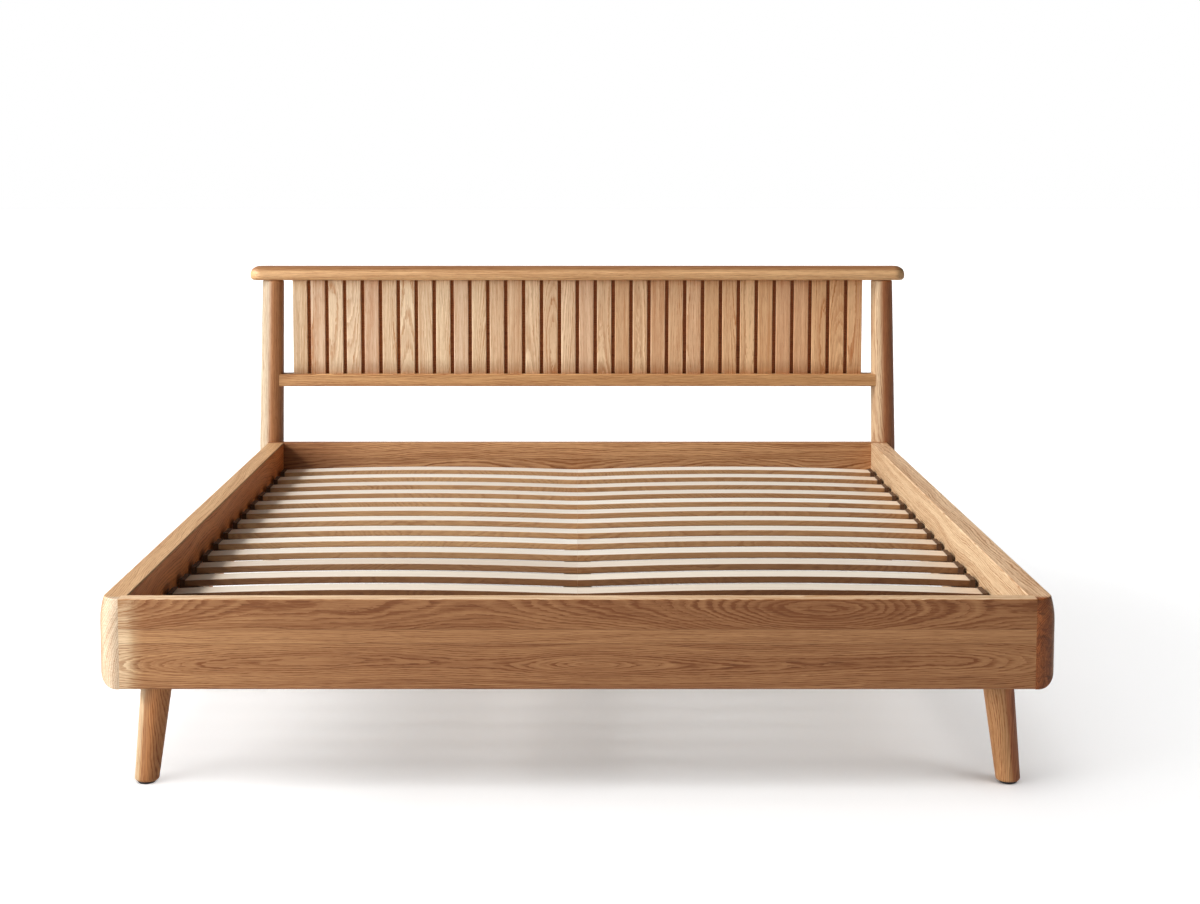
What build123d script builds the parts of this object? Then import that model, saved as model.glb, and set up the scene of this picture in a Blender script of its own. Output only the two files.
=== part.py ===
from build123d import *
import math
import os

# Oak bed frame with a slatted headboard, bowed slats in pairs and a centre beam.
# Millimetres. X runs across the bed, +Y from the foot end to the head end, +Z up.
# The origin is on the floor under the middle of the frame.

# Mattress well
mattress_width = 1800.0
mattress_length = 2000.0
mattress_clearance = 10.0  # room all round the mattress

# Rails
floor_clearance = 218.0  # from the floor to the underside of the rails
rail_height = 185.0
side_rail_thickness = 57.0
foot_rail_thickness = 36.0
head_rail_thickness = 33.0
rail_bottom_radius = 38.0  # outer bottom edge of the side rails
rail_top_inset = 8.0  # how far the outer face leans in at the top
rail_top_curve = 52.0  # height over which it leans in
rail_corner_radius = 42.0  # foot corners, seen from above
rail_edge_radius = 3.0
foot_housing = 12.0  # foot rail let into each side rail

# Head posts, which are the back legs too
post_offset = 44.0  # from the inner face of the side rail to the post's axis
post_diameter = 73.0
post_top_diameter = 65.5
post_foot_diameter = 50.0
post_housing = 16.5  # head rail let into each post
post_shoulder_radius = 7.0
post_lean = 1.3  # degrees, inwards towards the top
post_tenon_diameter = 32.0
post_tenon_length = 24.0

# Headboard
headboard_height = 949.5
top_rail_height = 43.5
top_rail_depth = 70.0
top_rail_overhang = 59.0  # past each post's axis
top_rail_crown_width = 31.0  # rounded-over upper edge, across
top_rail_crown_height = 25.0  # and down
top_rail_lower_radius = 11.0
lower_rail_bottom = 576.0
lower_rail_height = 38.0
lower_rail_depth = 52.0
lower_rail_edge_radius = 4.0
lower_tenon_width = 22.0
lower_tenon_height = 24.0
lower_tenon_length = 24.0  # past the post's inner side
headboard_slat_count = 32
headboard_slat_width = 44.5
headboard_slat_thickness = 15.0
headboard_slat_edge = 2.0
headboard_end_gap = 72.0  # from the post's axis to the first slat
back_panel_thickness = 8.0
groove_depth = 10.0  # for the back panel, in both rails

# Bed slats
slat_rows = 15
slat_width = 57.0
slat_thickness = 16.0
slat_bow = 10.0
slat_recess = 64.0  # from the top of the rails down to the slats' crown
slat_end_margin = 86.0  # from a rail to the middle of the first row
slat_end_gap = 12.0  # from the side rail's inner face to the slat's end
slat_centre_gap = 1.0  # between the two slats of a row
slat_edge = 2.0

# Slat holders on the ledgers and pads on the beam
holder_base = 9.0
holder_length = 44.0
holder_wall = 3.2
holder_cheek = 4.0  # height of the cheeks beside the slat
holder_cap = 8.0  # length of the cap over the slat's end
holder_cap_thickness = 2.0
pad_length = 64.0
pad_width = 56.0
peg_diameter = 8.0
peg_length = 14.0
pin_diameter = 7.0
pin_length = 6.0
pin_inset = 20.0  # from a slat's end to its pin

# Ledgers and centre beam
ledger_thickness = 28.0
ledger_height = 45.0
ledger_screws_per_side = 6
ledger_screw_grip = 10.0  # wood left under a screw's head
ledger_screw_inset = 110.0
beam_width = 60.0
beam_height = 70.0

# Steel brackets and hangers
steel = 3.0
bracket_length = 92.0
bracket_lift = 2.0  # shelf above the rails' underside
bracket_gap = 3.0  # from the wings' top to the ledger
bracket_corner = 30.0
bracket_tip_radius = 8.0
bracket_screw_near = 26.0
bracket_screw_far = 72.0
hanger_reach = 45.0
hanger_ear = 28.0
hanger_screw_inset = 15.0
hanger_tip_radius = 8.0

# Front legs and glides
leg_inset = 46.0  # from both rails' inner faces to the leg's axis at the top
leg_splay = 6.8  # degrees, outwards
leg_top_diameter = 64.0
leg_foot_diameter = 49.5
leg_foot_radius = 6.0
glide_height = 5.0
glide_diameter = 36.0
glide_pin_diameter = 4.0
glide_pin_length = 15.0

# Centre legs and levelling feet
support_leg_diameter = 44.0
support_leg_foot_diameter = 34.0
support_leg_first = 800.0  # from the foot rail to the first centre leg
support_leg_spacing = 700.0
support_tenon_diameter = 24.0
support_tenon_length = 30.0
foot_pad_diameter = 42.0
foot_pad_height = 8.0
foot_collar_height = 6.0
foot_collar_width = 17.0
foot_stem_diameter = 10.0
foot_stem_length = 48.0
foot_travel_up = 8.0
foot_stem_room = 12.0  # bore left above the stem

# Fasteners
bolt_diameter = 8.0
bolt_head_diameter = 13.0
bolt_head_height = 8.0
bolt_seat = 12.0  # counterbore floor behind the post's axis
bolt_offset = 27.0  # from the side rail's inner face to the bolts
bolt_low = 26.0  # lower bolt above the rails' underside
bolt_high = 10.0  # upper bolt above the ledger's top
bolt_tail = 10.0  # past the barrel nut
nut_setback = 45.0  # barrel nut from the end of the side rail
nut_diameter = 10.0
nut_length = 20.0
lag_diameter = 6.0
lag_length = 30.0
lag_head_width = 10.0
lag_head_height = 4.0
leg_bolt_diameter = 10.0
leg_bolt_depth = 45.0
leg_nut_width = 17.0
leg_nut_height = 8.0
leg_bolt_tip = 3.0

# Fits
bolt_clearance = 0.3
nut_clearance = 0.15
screw_clearance = 0.1
tenon_clearance = 0.15
panel_clearance = 0.2
cope_clearance = 0.25
slat_clearance = 0.3
peg_clearance = 0.15
beam_clearance = 0.3
stem_clearance = 0.2
counterbore_clearance = 1.5

# Levels and stations that follow from the sizes
inner_half = mattress_width / 2 + mattress_clearance
outer_half = inner_half + side_rail_thickness
inner_length = mattress_length + 2 * mattress_clearance
rail_bottom = floor_clearance
rail_top = rail_bottom + rail_height

post_radius = post_diameter / 2
post_x = inner_half + post_offset
post_setback = post_radius - post_housing
post_slope = math.tan(math.radians(post_lean))
head_depth = max(post_radius, top_rail_depth / 2)
bed_length = foot_rail_thickness + inner_length + head_rail_thickness + post_setback + head_depth
foot_front = -bed_length / 2
foot_back = foot_front + foot_rail_thickness
head_front = foot_back + inner_length
head_back = head_front + head_rail_thickness
post_y = head_back + post_setback

top_rail_bottom = headboard_height - top_rail_height
lower_rail_top = lower_rail_bottom + lower_rail_height
panel_half = post_x - headboard_end_gap
panel_y = post_y + (headboard_slat_thickness - back_panel_thickness) / 2
headboard_slat_pitch = (2 * panel_half - headboard_slat_width) / (headboard_slat_count - 1)

slat_crown_top = rail_top - slat_recess
slat_end_top = slat_crown_top - slat_bow
slat_end_bottom = slat_end_top - slat_thickness
slat_start = slat_centre_gap / 2
slat_finish = inner_half - slat_end_gap
slat_middle = (slat_start + slat_finish) / 2
slat_pitch = (inner_length - 2 * slat_end_margin) / (slat_rows - 1)
slat_stations = [foot_back + slat_end_margin + row * slat_pitch for row in range(slat_rows)]

ledger_top = slat_end_bottom - holder_base
ledger_bottom = ledger_top - ledger_height
beam_bottom = ledger_top - beam_height
beam_length = inner_length - 2 * steel

bracket_bottom = rail_bottom + bracket_lift
bracket_height = ledger_bottom - bracket_gap - bracket_bottom
leg_x = inner_half - leg_inset
leg_y = foot_back + leg_inset
leg_lean = math.tan(math.radians(leg_splay))
leg_foot_x = leg_x + leg_lean * (bracket_bottom - glide_height)

bolt_x = inner_half + bolt_offset
bolt_levels = (rail_bottom + bolt_low, ledger_top + bolt_high)
nut_y = head_front - nut_setback
support_stations = (
    foot_back + support_leg_first,
    foot_back + support_leg_first + support_leg_spacing,
)
support_leg_bottom = foot_pad_height + foot_collar_height + foot_travel_up


def post_radius_at(height):
    """Radius of a post above the rails, where it tapers towards its shoulder."""
    share = (height - rail_top) / (top_rail_bottom - rail_top)
    return post_radius + share * (post_top_diameter / 2 - post_radius)


def post_x_at(height):
    """Where the axis of the right-hand post is at a height; it leans about the rails' top."""
    return post_x + post_slope * (rail_top - height)


def rail_section(start_x, square=False):
    """Section of the frame's right edge: round underneath or square, a flat flank, a leaning shoulder."""
    flank_low = rail_bottom + rail_bottom_radius
    flank_high = rail_top - rail_top_curve
    bottom_end = (outer_half - rail_bottom_radius, rail_bottom)
    top_end = (outer_half - rail_top_inset, rail_top)
    with BuildSketch() as section:
        with BuildLine():
            if square:
                Polyline((start_x, rail_bottom), (outer_half, rail_bottom), (outer_half, flank_high))
            else:
                Line((start_x, rail_bottom), bottom_end)
                TangentArc(bottom_end, (outer_half, flank_low), tangent=(1, 0))
                Line((outer_half, flank_low), (outer_half, flank_high))
            TangentArc((outer_half, flank_high), top_end, tangent=(0, 1))
            Polyline(top_end, (start_x, rail_top), (start_x, rail_bottom))
        make_face()
    return section.sketch


def slat_profile(gap):
    """Side view of a right-hand slat, bowed upwards and grown by a gap all round."""
    low = slat_end_bottom - gap
    high = slat_end_top + gap
    left = slat_start - gap
    right = slat_finish + gap
    with BuildSketch() as profile:
        with BuildLine():
            ThreePointArc((left, low), (slat_middle, low + slat_bow), (right, low))
            Line((right, low), (right, high))
            ThreePointArc((right, high), (slat_middle, high + slat_bow), (left, high))
            Line((left, high), (left, low))
        make_face()
    return profile.sketch


def bolt_planes(depth_y):
    """Bed bolt axes of the right-hand post, at a station along Y and pointing backwards."""
    return [
        Plane(origin=(bolt_x, depth_y, level), x_dir=(1, 0, 0), z_dir=(0, 1, 0)) for level in bolt_levels
    ]


def bracket_foot_planes(side):
    """Seats of the bracket's screws in the foot rail."""
    level = bracket_bottom + bracket_height / 2
    return [
        Plane(origin=(side * (inner_half - reach), foot_back + steel, level), x_dir=(1, 0, 0), z_dir=(0, 1, 0))
        for reach in (bracket_screw_near, bracket_screw_far)
    ]


def bracket_side_planes(side):
    """Seats of the bracket's screws in the side rail."""
    level = bracket_bottom + bracket_height / 2
    return [
        Plane(origin=(side * (inner_half - steel), foot_back + reach, level), x_dir=(0, 1, 0), z_dir=(-side, 0, 0))
        for reach in (bracket_screw_near, bracket_screw_far)
    ]


def hanger_planes(rail_y, facing):
    """Seats of a beam hanger's four screws, on the rail face at rail_y."""
    across = beam_width / 2 + beam_clearance + steel + hanger_ear - hanger_screw_inset
    levels = (beam_bottom + hanger_screw_inset, ledger_top - hanger_screw_inset)
    return [
        Plane(origin=(side * across, rail_y + facing * steel, level), x_dir=(1, 0, 0), z_dir=(0, facing, 0))
        for side in (-1, 1)
        for level in levels
    ]


def ledger_planes(side):
    """Seats of a ledger's screws, at the bottom of their counterbores."""
    level = ledger_bottom + ledger_height / 2
    span = inner_length - 2 * ledger_screw_inset
    step = span / (ledger_screws_per_side - 1)
    return [
        Plane(
            origin=(
                side * (inner_half - ledger_screw_grip),
                foot_back + ledger_screw_inset + index * step,
                level,
            ),
            x_dir=(0, 1, 0),
            z_dir=(-side, 0, 0),
        )
        for index in range(ledger_screws_per_side)
    ]


# Foot rail, let into the side rails at both ends
with BuildPart() as foot_rail:
    with Locations((0, foot_front, rail_bottom)):
        Box(
            2 * (inner_half + foot_housing),
            foot_rail_thickness,
            rail_height,
            align=(Align.CENTER, Align.MIN, Align.MIN),
        )
    fillet(foot_rail.edges().filter_by(Axis.X), rail_edge_radius)
    with Locations(*bracket_foot_planes(-1), *bracket_foot_planes(1), *hanger_planes(foot_back, 1)):
        Hole(radius=lag_diameter / 2 + screw_clearance, depth=lag_length + screw_clearance)

# Side rail: its outer face turns the foot corner as it stands, lean and all, before the
# lower edge is rounded along the whole length
with BuildPart() as right_side_rail:
    with BuildSketch(Plane.XZ.offset(-head_front)):
        add(rail_section(inner_half, square=True))
    extrude(amount=head_front - foot_front)
    foot_end = right_side_rail.faces().sort_by(Axis.Y)[0]
    fillet(foot_end.edges().sort_by(Axis.X)[-2:], rail_corner_radius)
    top_face = right_side_rail.faces().sort_by(Axis.Z)[-1]
    fillet(top_face.edges().sort_by(Axis.Y)[:-1], rail_edge_radius)
    with BuildSketch(Plane.XZ.offset(-head_front)):
        add(rail_section(inner_half))
    extrude(amount=head_front - foot_front, mode=Mode.INTERSECT)
    with Locations((inner_half, foot_front, rail_bottom)):
        Box(
            foot_housing,
            foot_rail_thickness,
            rail_height,
            align=(Align.MIN, Align.MIN, Align.MIN),
            mode=Mode.SUBTRACT,
        )
    with Locations(*bolt_planes(head_front)):
        Hole(radius=bolt_diameter / 2 + bolt_clearance, depth=nut_setback + bolt_tail + bolt_clearance)
    with Locations(
        *[
            Plane(origin=(inner_half, nut_y, level), x_dir=(0, 1, 0), z_dir=(-1, 0, 0))
            for level in bolt_levels
        ]
    ):
        Hole(radius=nut_diameter / 2 + nut_clearance, depth=bolt_offset + nut_length / 2)
    with Locations(*bracket_side_planes(1), *ledger_planes(1)):
        Hole(radius=lag_diameter / 2 + screw_clearance, depth=lag_length + screw_clearance)

with BuildPart() as left_side_rail:
    mirror(right_side_rail.part, about=Plane.YZ)

# Head rail: the frame's whole section, behind the side rails
with BuildPart() as head_rail:
    with BuildSketch(Plane.XZ.offset(-head_back)):
        add(rail_section(0))
    extrude(amount=head_rail_thickness)
    with Locations(*bolt_planes(head_back)):
        Hole(radius=bolt_diameter / 2 + bolt_clearance, depth=head_rail_thickness)
    mirror(about=Plane.YZ)
    top_edges = head_rail.faces().sort_by(Axis.Z)[-1].edges().filter_by(Axis.X)
    fillet(top_edges, rail_edge_radius)
    with Locations(*hanger_planes(head_front, -1)):
        Hole(radius=lag_diameter / 2 + screw_clearance, depth=lag_length + screw_clearance)

# Turned post on a leaning axis: leg taper, straight length behind the rail, long taper;
# cut level at the glide and under the top rail, with a round tenon
with BuildPart() as right_post:
    post_axis = Vector(-post_slope, 0, 1).normalized()
    spare = post_diameter / 2
    foot_growth = (post_diameter - post_foot_diameter) / 2 / (rail_bottom - glide_height)
    low_radius = post_radius - foot_growth * (rail_bottom + spare)
    with BuildSketch(
        Plane(origin=(post_x_at(0), post_y, 0), x_dir=(post_axis.Z, 0, -post_axis.X), z_dir=(0, -1, 0))
    ):
        with BuildLine():
            Polyline(
                (0, -spare),
                (low_radius, -spare),
                (post_radius, rail_bottom),
                (post_radius, rail_top),
                (post_radius_at(top_rail_bottom + spare), top_rail_bottom + spare),
                (0, top_rail_bottom + spare),
                (0, -spare),
            )
        make_face()
    revolve(axis=Axis((post_x_at(0), post_y, 0), post_axis))
    with BuildSketch(Plane.XY.offset(glide_height)):
        with Locations((post_x, post_y)):
            Rectangle(4 * post_diameter, 4 * post_diameter)
    extrude(amount=top_rail_bottom - glide_height, mode=Mode.INTERSECT)
    fillet(right_post.edges().sort_by(Axis.Z)[0], leg_foot_radius)
    fillet(right_post.edges().sort_by(Axis.Z)[-1], post_shoulder_radius)
    with Locations((post_x_at(top_rail_bottom), post_y, top_rail_bottom)):
        Cylinder(
            radius=post_tenon_diameter / 2,
            height=post_tenon_length,
            align=(Align.CENTER, Align.CENTER, Align.MIN),
        )
    with BuildSketch(Plane.XZ.offset(-head_back)):
        add(rail_section(0))
    extrude(amount=post_diameter, mode=Mode.SUBTRACT)
    with Locations(*bolt_planes(post_y + bolt_seat)):
        Hole(radius=bolt_diameter / 2 + bolt_clearance, depth=post_diameter)
        Cylinder(
            radius=(bolt_head_diameter + counterbore_clearance) / 2,
            height=post_diameter,
            align=(Align.CENTER, Align.CENTER, Align.MIN),
            mode=Mode.SUBTRACT,
        )
    with Locations((post_x - post_radius, post_y, lower_rail_bottom + lower_rail_height / 2)):
        Box(
            2 * (lower_tenon_length + tenon_clearance),
            lower_tenon_width + 2 * tenon_clearance,
            lower_tenon_height + 2 * tenon_clearance,
            mode=Mode.SUBTRACT,
        )
    with Locations((post_x_at(0), post_y, glide_height)):
        Cylinder(
            radius=glide_pin_diameter / 2 + screw_clearance,
            height=glide_pin_length + screw_clearance,
            align=(Align.CENTER, Align.CENTER, Align.MIN),
            mode=Mode.SUBTRACT,
        )

with BuildPart() as left_post:
    mirror(right_post.part, about=Plane.YZ)

# Headboard top rail: one section along its length, turned about both ends
with BuildPart() as headboard_top_rail:
    half_depth = top_rail_depth / 2
    end_x = post_x + top_rail_overhang - half_depth
    crown_base = headboard_height - top_rail_crown_height
    with BuildSketch(Plane(origin=(end_x, post_y, 0), x_dir=(0, 1, 0), z_dir=(1, 0, 0))) as half_section:
        with BuildLine():
            Line((0, top_rail_bottom), (half_depth - top_rail_lower_radius, top_rail_bottom))
            TangentArc(
                (half_depth - top_rail_lower_radius, top_rail_bottom),
                (half_depth, top_rail_bottom + top_rail_lower_radius),
                tangent=(1, 0),
            )
            Line((half_depth, top_rail_bottom + top_rail_lower_radius), (half_depth, crown_base))
            EllipticalCenterArc(
                (half_depth - top_rail_crown_width, crown_base),
                top_rail_crown_width,
                top_rail_crown_height,
                start_angle=0,
                arc_size=90,
            )
            Polyline(
                (half_depth - top_rail_crown_width, headboard_height),
                (0, headboard_height),
                (0, top_rail_bottom),
            )
        make_face()
    revolve(axis=Axis((end_x, post_y, 0), (0, 0, 1)), revolution_arc=-180)
    extrude(half_section.sketch, amount=-end_x)
    extrude(mirror(half_section.sketch, about=Plane.XZ.offset(-post_y), mode=Mode.PRIVATE), amount=-end_x)
    mirror(about=Plane.YZ)
    tenon_x = post_x_at(top_rail_bottom)
    with Locations((-tenon_x, post_y, top_rail_bottom), (tenon_x, post_y, top_rail_bottom)):
        Cylinder(
            radius=post_tenon_diameter / 2 + tenon_clearance,
            height=post_tenon_length + tenon_clearance,
            align=(Align.CENTER, Align.CENTER, Align.MIN),
            mode=Mode.SUBTRACT,
        )
    with Locations((0, panel_y, top_rail_bottom)):
        Box(
            2 * (panel_half + panel_clearance),
            back_panel_thickness + 2 * panel_clearance,
            groove_depth + panel_clearance,
            align=(Align.CENTER, Align.MIN, Align.MIN),
            mode=Mode.SUBTRACT,
        )

# Headboard lower rail, coped against the round posts, with a tenon at each end
with BuildPart() as headboard_lower_rail:
    rail_middle = lower_rail_bottom + lower_rail_height / 2
    with Locations((0, post_y, rail_middle)):
        Box(2 * post_x, lower_rail_depth, lower_rail_height)
    fillet(headboard_lower_rail.edges().filter_by(Axis.X), lower_rail_edge_radius)
    cope_low = lower_rail_bottom - lower_rail_height / 2
    cope_high = lower_rail_top + lower_rail_height / 2
    for side in (-1, 1):
        with Locations(Location((side * post_x_at(cope_low), post_y, cope_low), (0, -side * post_lean, 0))):
            Cone(
                post_radius_at(cope_low) + cope_clearance,
                post_radius_at(cope_high) + cope_clearance,
                cope_high - cope_low,
                align=(Align.CENTER, Align.CENTER, Align.MIN),
                mode=Mode.SUBTRACT,
            )
    with Locations((0, post_y, rail_middle)):
        Box(2 * (post_x - post_radius + lower_tenon_length), lower_tenon_width, lower_tenon_height)
    with Locations((0, panel_y, lower_rail_top)):
        Box(
            2 * (panel_half + panel_clearance),
            back_panel_thickness + 2 * panel_clearance,
            groove_depth + panel_clearance,
            align=(Align.CENTER, Align.MIN, Align.MAX),
            mode=Mode.SUBTRACT,
        )

# Back panel in the grooves of both headboard rails
with BuildPart() as headboard_back_panel:
    with Locations((0, panel_y + panel_clearance, lower_rail_top - groove_depth)):
        Box(
            2 * panel_half,
            back_panel_thickness,
            top_rail_bottom - lower_rail_top + 2 * groove_depth,
            align=(Align.CENTER, Align.MIN, Align.MIN),
        )

# Headboard slats on the front of the back panel, between the rails
with BuildPart() as headboard_slats:
    with BuildSketch(Plane.XY.offset(lower_rail_top)):
        with Locations((0, panel_y + panel_clearance)):
            with GridLocations(headboard_slat_pitch, 1, headboard_slat_count, 1):
                Rectangle(headboard_slat_width, headboard_slat_thickness, align=(Align.CENTER, Align.MAX))
    extrude(amount=top_rail_bottom - lower_rail_top)
    front_edges = headboard_slats.edges().filter_by(Axis.Z).group_by(Axis.Y)[0]
    chamfer(front_edges, headboard_slat_edge)

# Ledgers that carry the outer ends of the slats
with BuildPart() as right_ledger:
    with Locations((inner_half, foot_back, ledger_bottom)):
        Box(
            ledger_thickness,
            inner_length,
            ledger_height,
            align=(Align.MAX, Align.MIN, Align.MIN),
        )
    chamfer(right_ledger.edges().filter_by(Axis.Y).group_by(Axis.X)[0], slat_edge)
    with Locations(*ledger_planes(1)):
        Hole(radius=lag_diameter / 2 + bolt_clearance, depth=ledger_thickness)
        Cylinder(
            radius=lag_head_width / math.sqrt(3) + counterbore_clearance,
            height=ledger_thickness,
            align=(Align.CENTER, Align.CENTER, Align.MIN),
            mode=Mode.SUBTRACT,
        )
    with Locations(*[(slat_finish - pin_inset, station, ledger_top) for station in slat_stations]):
        Hole(radius=peg_diameter / 2 + peg_clearance, depth=peg_length + peg_clearance)

with BuildPart() as left_ledger:
    mirror(right_ledger.part, about=Plane.YZ)

# Centre beam
with BuildPart() as centre_beam:
    with Locations((0, foot_back + steel, beam_bottom)):
        Box(beam_width, beam_length, beam_height, align=(Align.CENTER, Align.MIN, Align.MIN))
    chamfer(centre_beam.edges().filter_by(Axis.Y), slat_edge)
    with Locations(*[(0, station, ledger_top) for station in slat_stations]):
        Hole(radius=peg_diameter / 2 + peg_clearance, depth=peg_length + peg_clearance)
    with Locations(*[(0, station, beam_bottom) for station in support_stations]):
        Cylinder(
            radius=support_tenon_diameter / 2 + tenon_clearance,
            height=support_tenon_length + tenon_clearance,
            align=(Align.CENTER, Align.CENTER, Align.MIN),
            mode=Mode.SUBTRACT,
        )

# Folded steel hanger: a cradle under the beam's end and an ear each side
with BuildPart() as foot_beam_hanger:
    cradle_half = beam_width / 2 + beam_clearance
    cradle_bottom = beam_bottom - beam_clearance
    with BuildSketch(Plane.XZ.offset(-foot_back)) as ears:
        with Locations((0, cradle_bottom - steel)):
            Rectangle(
                2 * (cradle_half + steel + hanger_ear),
                ledger_top - cradle_bottom + steel,
                align=(Align.CENTER, Align.MIN),
            )
        fillet(ears.vertices(), hanger_tip_radius)
    extrude(amount=-steel)
    with BuildSketch(Plane.XZ.offset(-foot_back - steel)):
        with Locations((0, cradle_bottom - steel)):
            Rectangle(
                2 * (cradle_half + steel),
                ledger_top - cradle_bottom + steel - hanger_tip_radius,
                align=(Align.CENTER, Align.MIN),
            )
        with Locations((0, cradle_bottom)):
            Rectangle(
                2 * cradle_half,
                ledger_top - cradle_bottom,
                align=(Align.CENTER, Align.MIN),
                mode=Mode.SUBTRACT,
            )
    extrude(amount=-hanger_reach)
    with Locations(*hanger_planes(foot_back, 1)):
        Hole(radius=lag_diameter / 2 + bolt_clearance, depth=steel)

with BuildPart() as head_beam_hanger:
    mirror(foot_beam_hanger.part, about=Plane.XZ.offset(-(foot_back + head_front) / 2))

# Steel corner bracket: a wing on each rail and a shelf over the leg
with BuildPart() as right_corner_bracket:
    with BuildSketch(Plane.XY.offset(bracket_bottom)) as shelf:
        with Locations((inner_half, foot_back)):
            Rectangle(bracket_length, bracket_length, align=(Align.MAX, Align.MIN))
        free_corner = shelf.vertices().group_by(Axis.X)[0].sort_by(Axis.Y)[-1]
        fillet(free_corner, bracket_corner)
    extrude(amount=steel)
    with BuildSketch(Plane.XZ.offset(-foot_back)) as foot_wing:
        with Locations((inner_half, bracket_bottom)):
            Rectangle(bracket_length, bracket_height, align=(Align.MAX, Align.MIN))
        fillet(foot_wing.vertices().group_by(Axis.Y)[-1].sort_by(Axis.X)[0], bracket_tip_radius)
    extrude(amount=-steel)
    with BuildSketch(Plane.YZ.offset(inner_half)) as side_wing:
        with Locations((foot_back, bracket_bottom)):
            Rectangle(bracket_length, bracket_height, align=(Align.MIN, Align.MIN))
        fillet(side_wing.vertices().group_by(Axis.Y)[-1].sort_by(Axis.X)[-1], bracket_tip_radius)
    extrude(amount=-steel)
    with Locations(*bracket_foot_planes(1), *bracket_side_planes(1)):
        Hole(radius=lag_diameter / 2 + bolt_clearance, depth=steel)
    with Locations((leg_x, leg_y, bracket_bottom + steel)):
        Hole(radius=leg_bolt_diameter / 2 + bolt_clearance, depth=steel)

with BuildPart() as left_corner_bracket:
    mirror(right_corner_bracket.part, about=Plane.YZ)

# Splayed front leg: a cone along the leaning axis, cut level at the shelf and at the glide
with BuildPart() as right_front_leg:
    leg_axis = Vector(-leg_lean, 0, 1)
    leg_length = (bracket_bottom - glide_height) * leg_axis.length
    for height, diameter in ((-1, leg_foot_diameter), (1, leg_top_diameter)):
        spare = leg_top_diameter
        along = leg_length / 2 + height * (leg_length / 2 + spare)
        growth = (leg_top_diameter - leg_foot_diameter) / leg_length
        origin = Vector(leg_foot_x, leg_y, glide_height) + leg_axis.normalized() * along
        with BuildSketch(Plane(origin=origin, x_dir=(0, 1, 0), z_dir=leg_axis)):
            Circle((diameter + height * growth * spare) / 2)
    loft()
    with BuildSketch(Plane.XY.offset(glide_height)):
        with Locations(((leg_x + leg_foot_x) / 2, leg_y)):
            Rectangle(4 * leg_top_diameter, 4 * leg_top_diameter)
    extrude(amount=bracket_bottom - glide_height, mode=Mode.INTERSECT)
    fillet(right_front_leg.edges().sort_by(Axis.Z)[0], leg_foot_radius)
    with Locations((leg_x, leg_y, bracket_bottom)):
        Hole(radius=leg_bolt_diameter / 2 + screw_clearance, depth=leg_bolt_depth + screw_clearance)
    with Locations((leg_foot_x, leg_y, glide_height)):
        Cylinder(
            radius=glide_pin_diameter / 2 + screw_clearance,
            height=glide_pin_length + screw_clearance,
            align=(Align.CENTER, Align.CENTER, Align.MIN),
            mode=Mode.SUBTRACT,
        )

with BuildPart() as left_front_leg:
    mirror(right_front_leg.part, about=Plane.YZ)

# Hanger bolts of the front legs with their nuts
with BuildPart() as leg_hanger_bolts:
    shelf_top = bracket_bottom + steel
    with Locations((leg_x, leg_y, bracket_bottom - leg_bolt_depth), (-leg_x, leg_y, bracket_bottom - leg_bolt_depth)):
        Cylinder(
            radius=leg_bolt_diameter / 2,
            height=leg_bolt_depth + steel + leg_nut_height + leg_bolt_tip,
            align=(Align.CENTER, Align.CENTER, Align.MIN),
        )
    with BuildSketch(Plane.XY.offset(shelf_top)):
        with Locations((leg_x, leg_y), (-leg_x, leg_y)):
            RegularPolygon(leg_nut_width / 2, 6, major_radius=False)
    extrude(amount=leg_nut_height)

# Glides under the front legs and the posts, each with its pin
with BuildPart() as glide:
    Cylinder(glide_diameter / 2, glide_height, align=(Align.CENTER, Align.CENTER, Align.MIN))
    chamfer(glide.edges().sort_by(Axis.Z)[0], glide_height / 4)
    with Locations((0, 0, glide_height)):
        Cylinder(
            glide_pin_diameter / 2,
            glide_pin_length,
            align=(Align.CENTER, Align.CENTER, Align.MIN),
        )

with BuildPart() as floor_glides:
    with Locations((leg_foot_x, leg_y), (-leg_foot_x, leg_y), (post_x_at(0), post_y), (-post_x_at(0), post_y)):
        add(glide.part)

# Turned centre leg with a round tenon above and a bore for the levelling foot below
with BuildPart() as support_leg:
    with BuildSketch(Plane.XZ):
        with BuildLine():
            leg_radius = support_leg_diameter / 2
            tip_radius = support_leg_foot_diameter / 2
            tenon_radius = support_tenon_diameter / 2
            Polyline(
                (0, support_leg_bottom),
                (tip_radius, support_leg_bottom),
                (leg_radius, beam_bottom),
                (tenon_radius, beam_bottom),
                (tenon_radius, beam_bottom + support_tenon_length),
                (0, beam_bottom + support_tenon_length),
                close=True,
            )
        make_face()
    revolve(axis=Axis.Z)
    with Locations((0, 0, support_leg_bottom)):
        Cylinder(
            radius=foot_stem_diameter / 2 + stem_clearance,
            height=foot_stem_length - foot_travel_up + foot_stem_room,
            align=(Align.CENTER, Align.CENTER, Align.MIN),
            mode=Mode.SUBTRACT,
        )

with BuildPart() as front_support_leg:
    with Locations((0, support_stations[0])):
        add(support_leg.part)

with BuildPart() as rear_support_leg:
    with Locations((0, support_stations[1])):
        add(support_leg.part)

# Levelling foot: pad on the floor, hexagon for the spanner and stem in the leg's bore
with BuildPart() as levelling_foot:
    Cylinder(foot_pad_diameter / 2, foot_pad_height, align=(Align.CENTER, Align.CENTER, Align.MIN))
    chamfer(levelling_foot.edges().filter_by(GeomType.CIRCLE), foot_pad_height / 4)
    with BuildSketch(Plane.XY.offset(foot_pad_height)):
        RegularPolygon(foot_collar_width / 2, 6, major_radius=False)
    extrude(amount=foot_collar_height)
    with Locations((0, 0, foot_pad_height + foot_collar_height)):
        Cylinder(foot_stem_diameter / 2, foot_stem_length, align=(Align.CENTER, Align.CENTER, Align.MIN))

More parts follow.
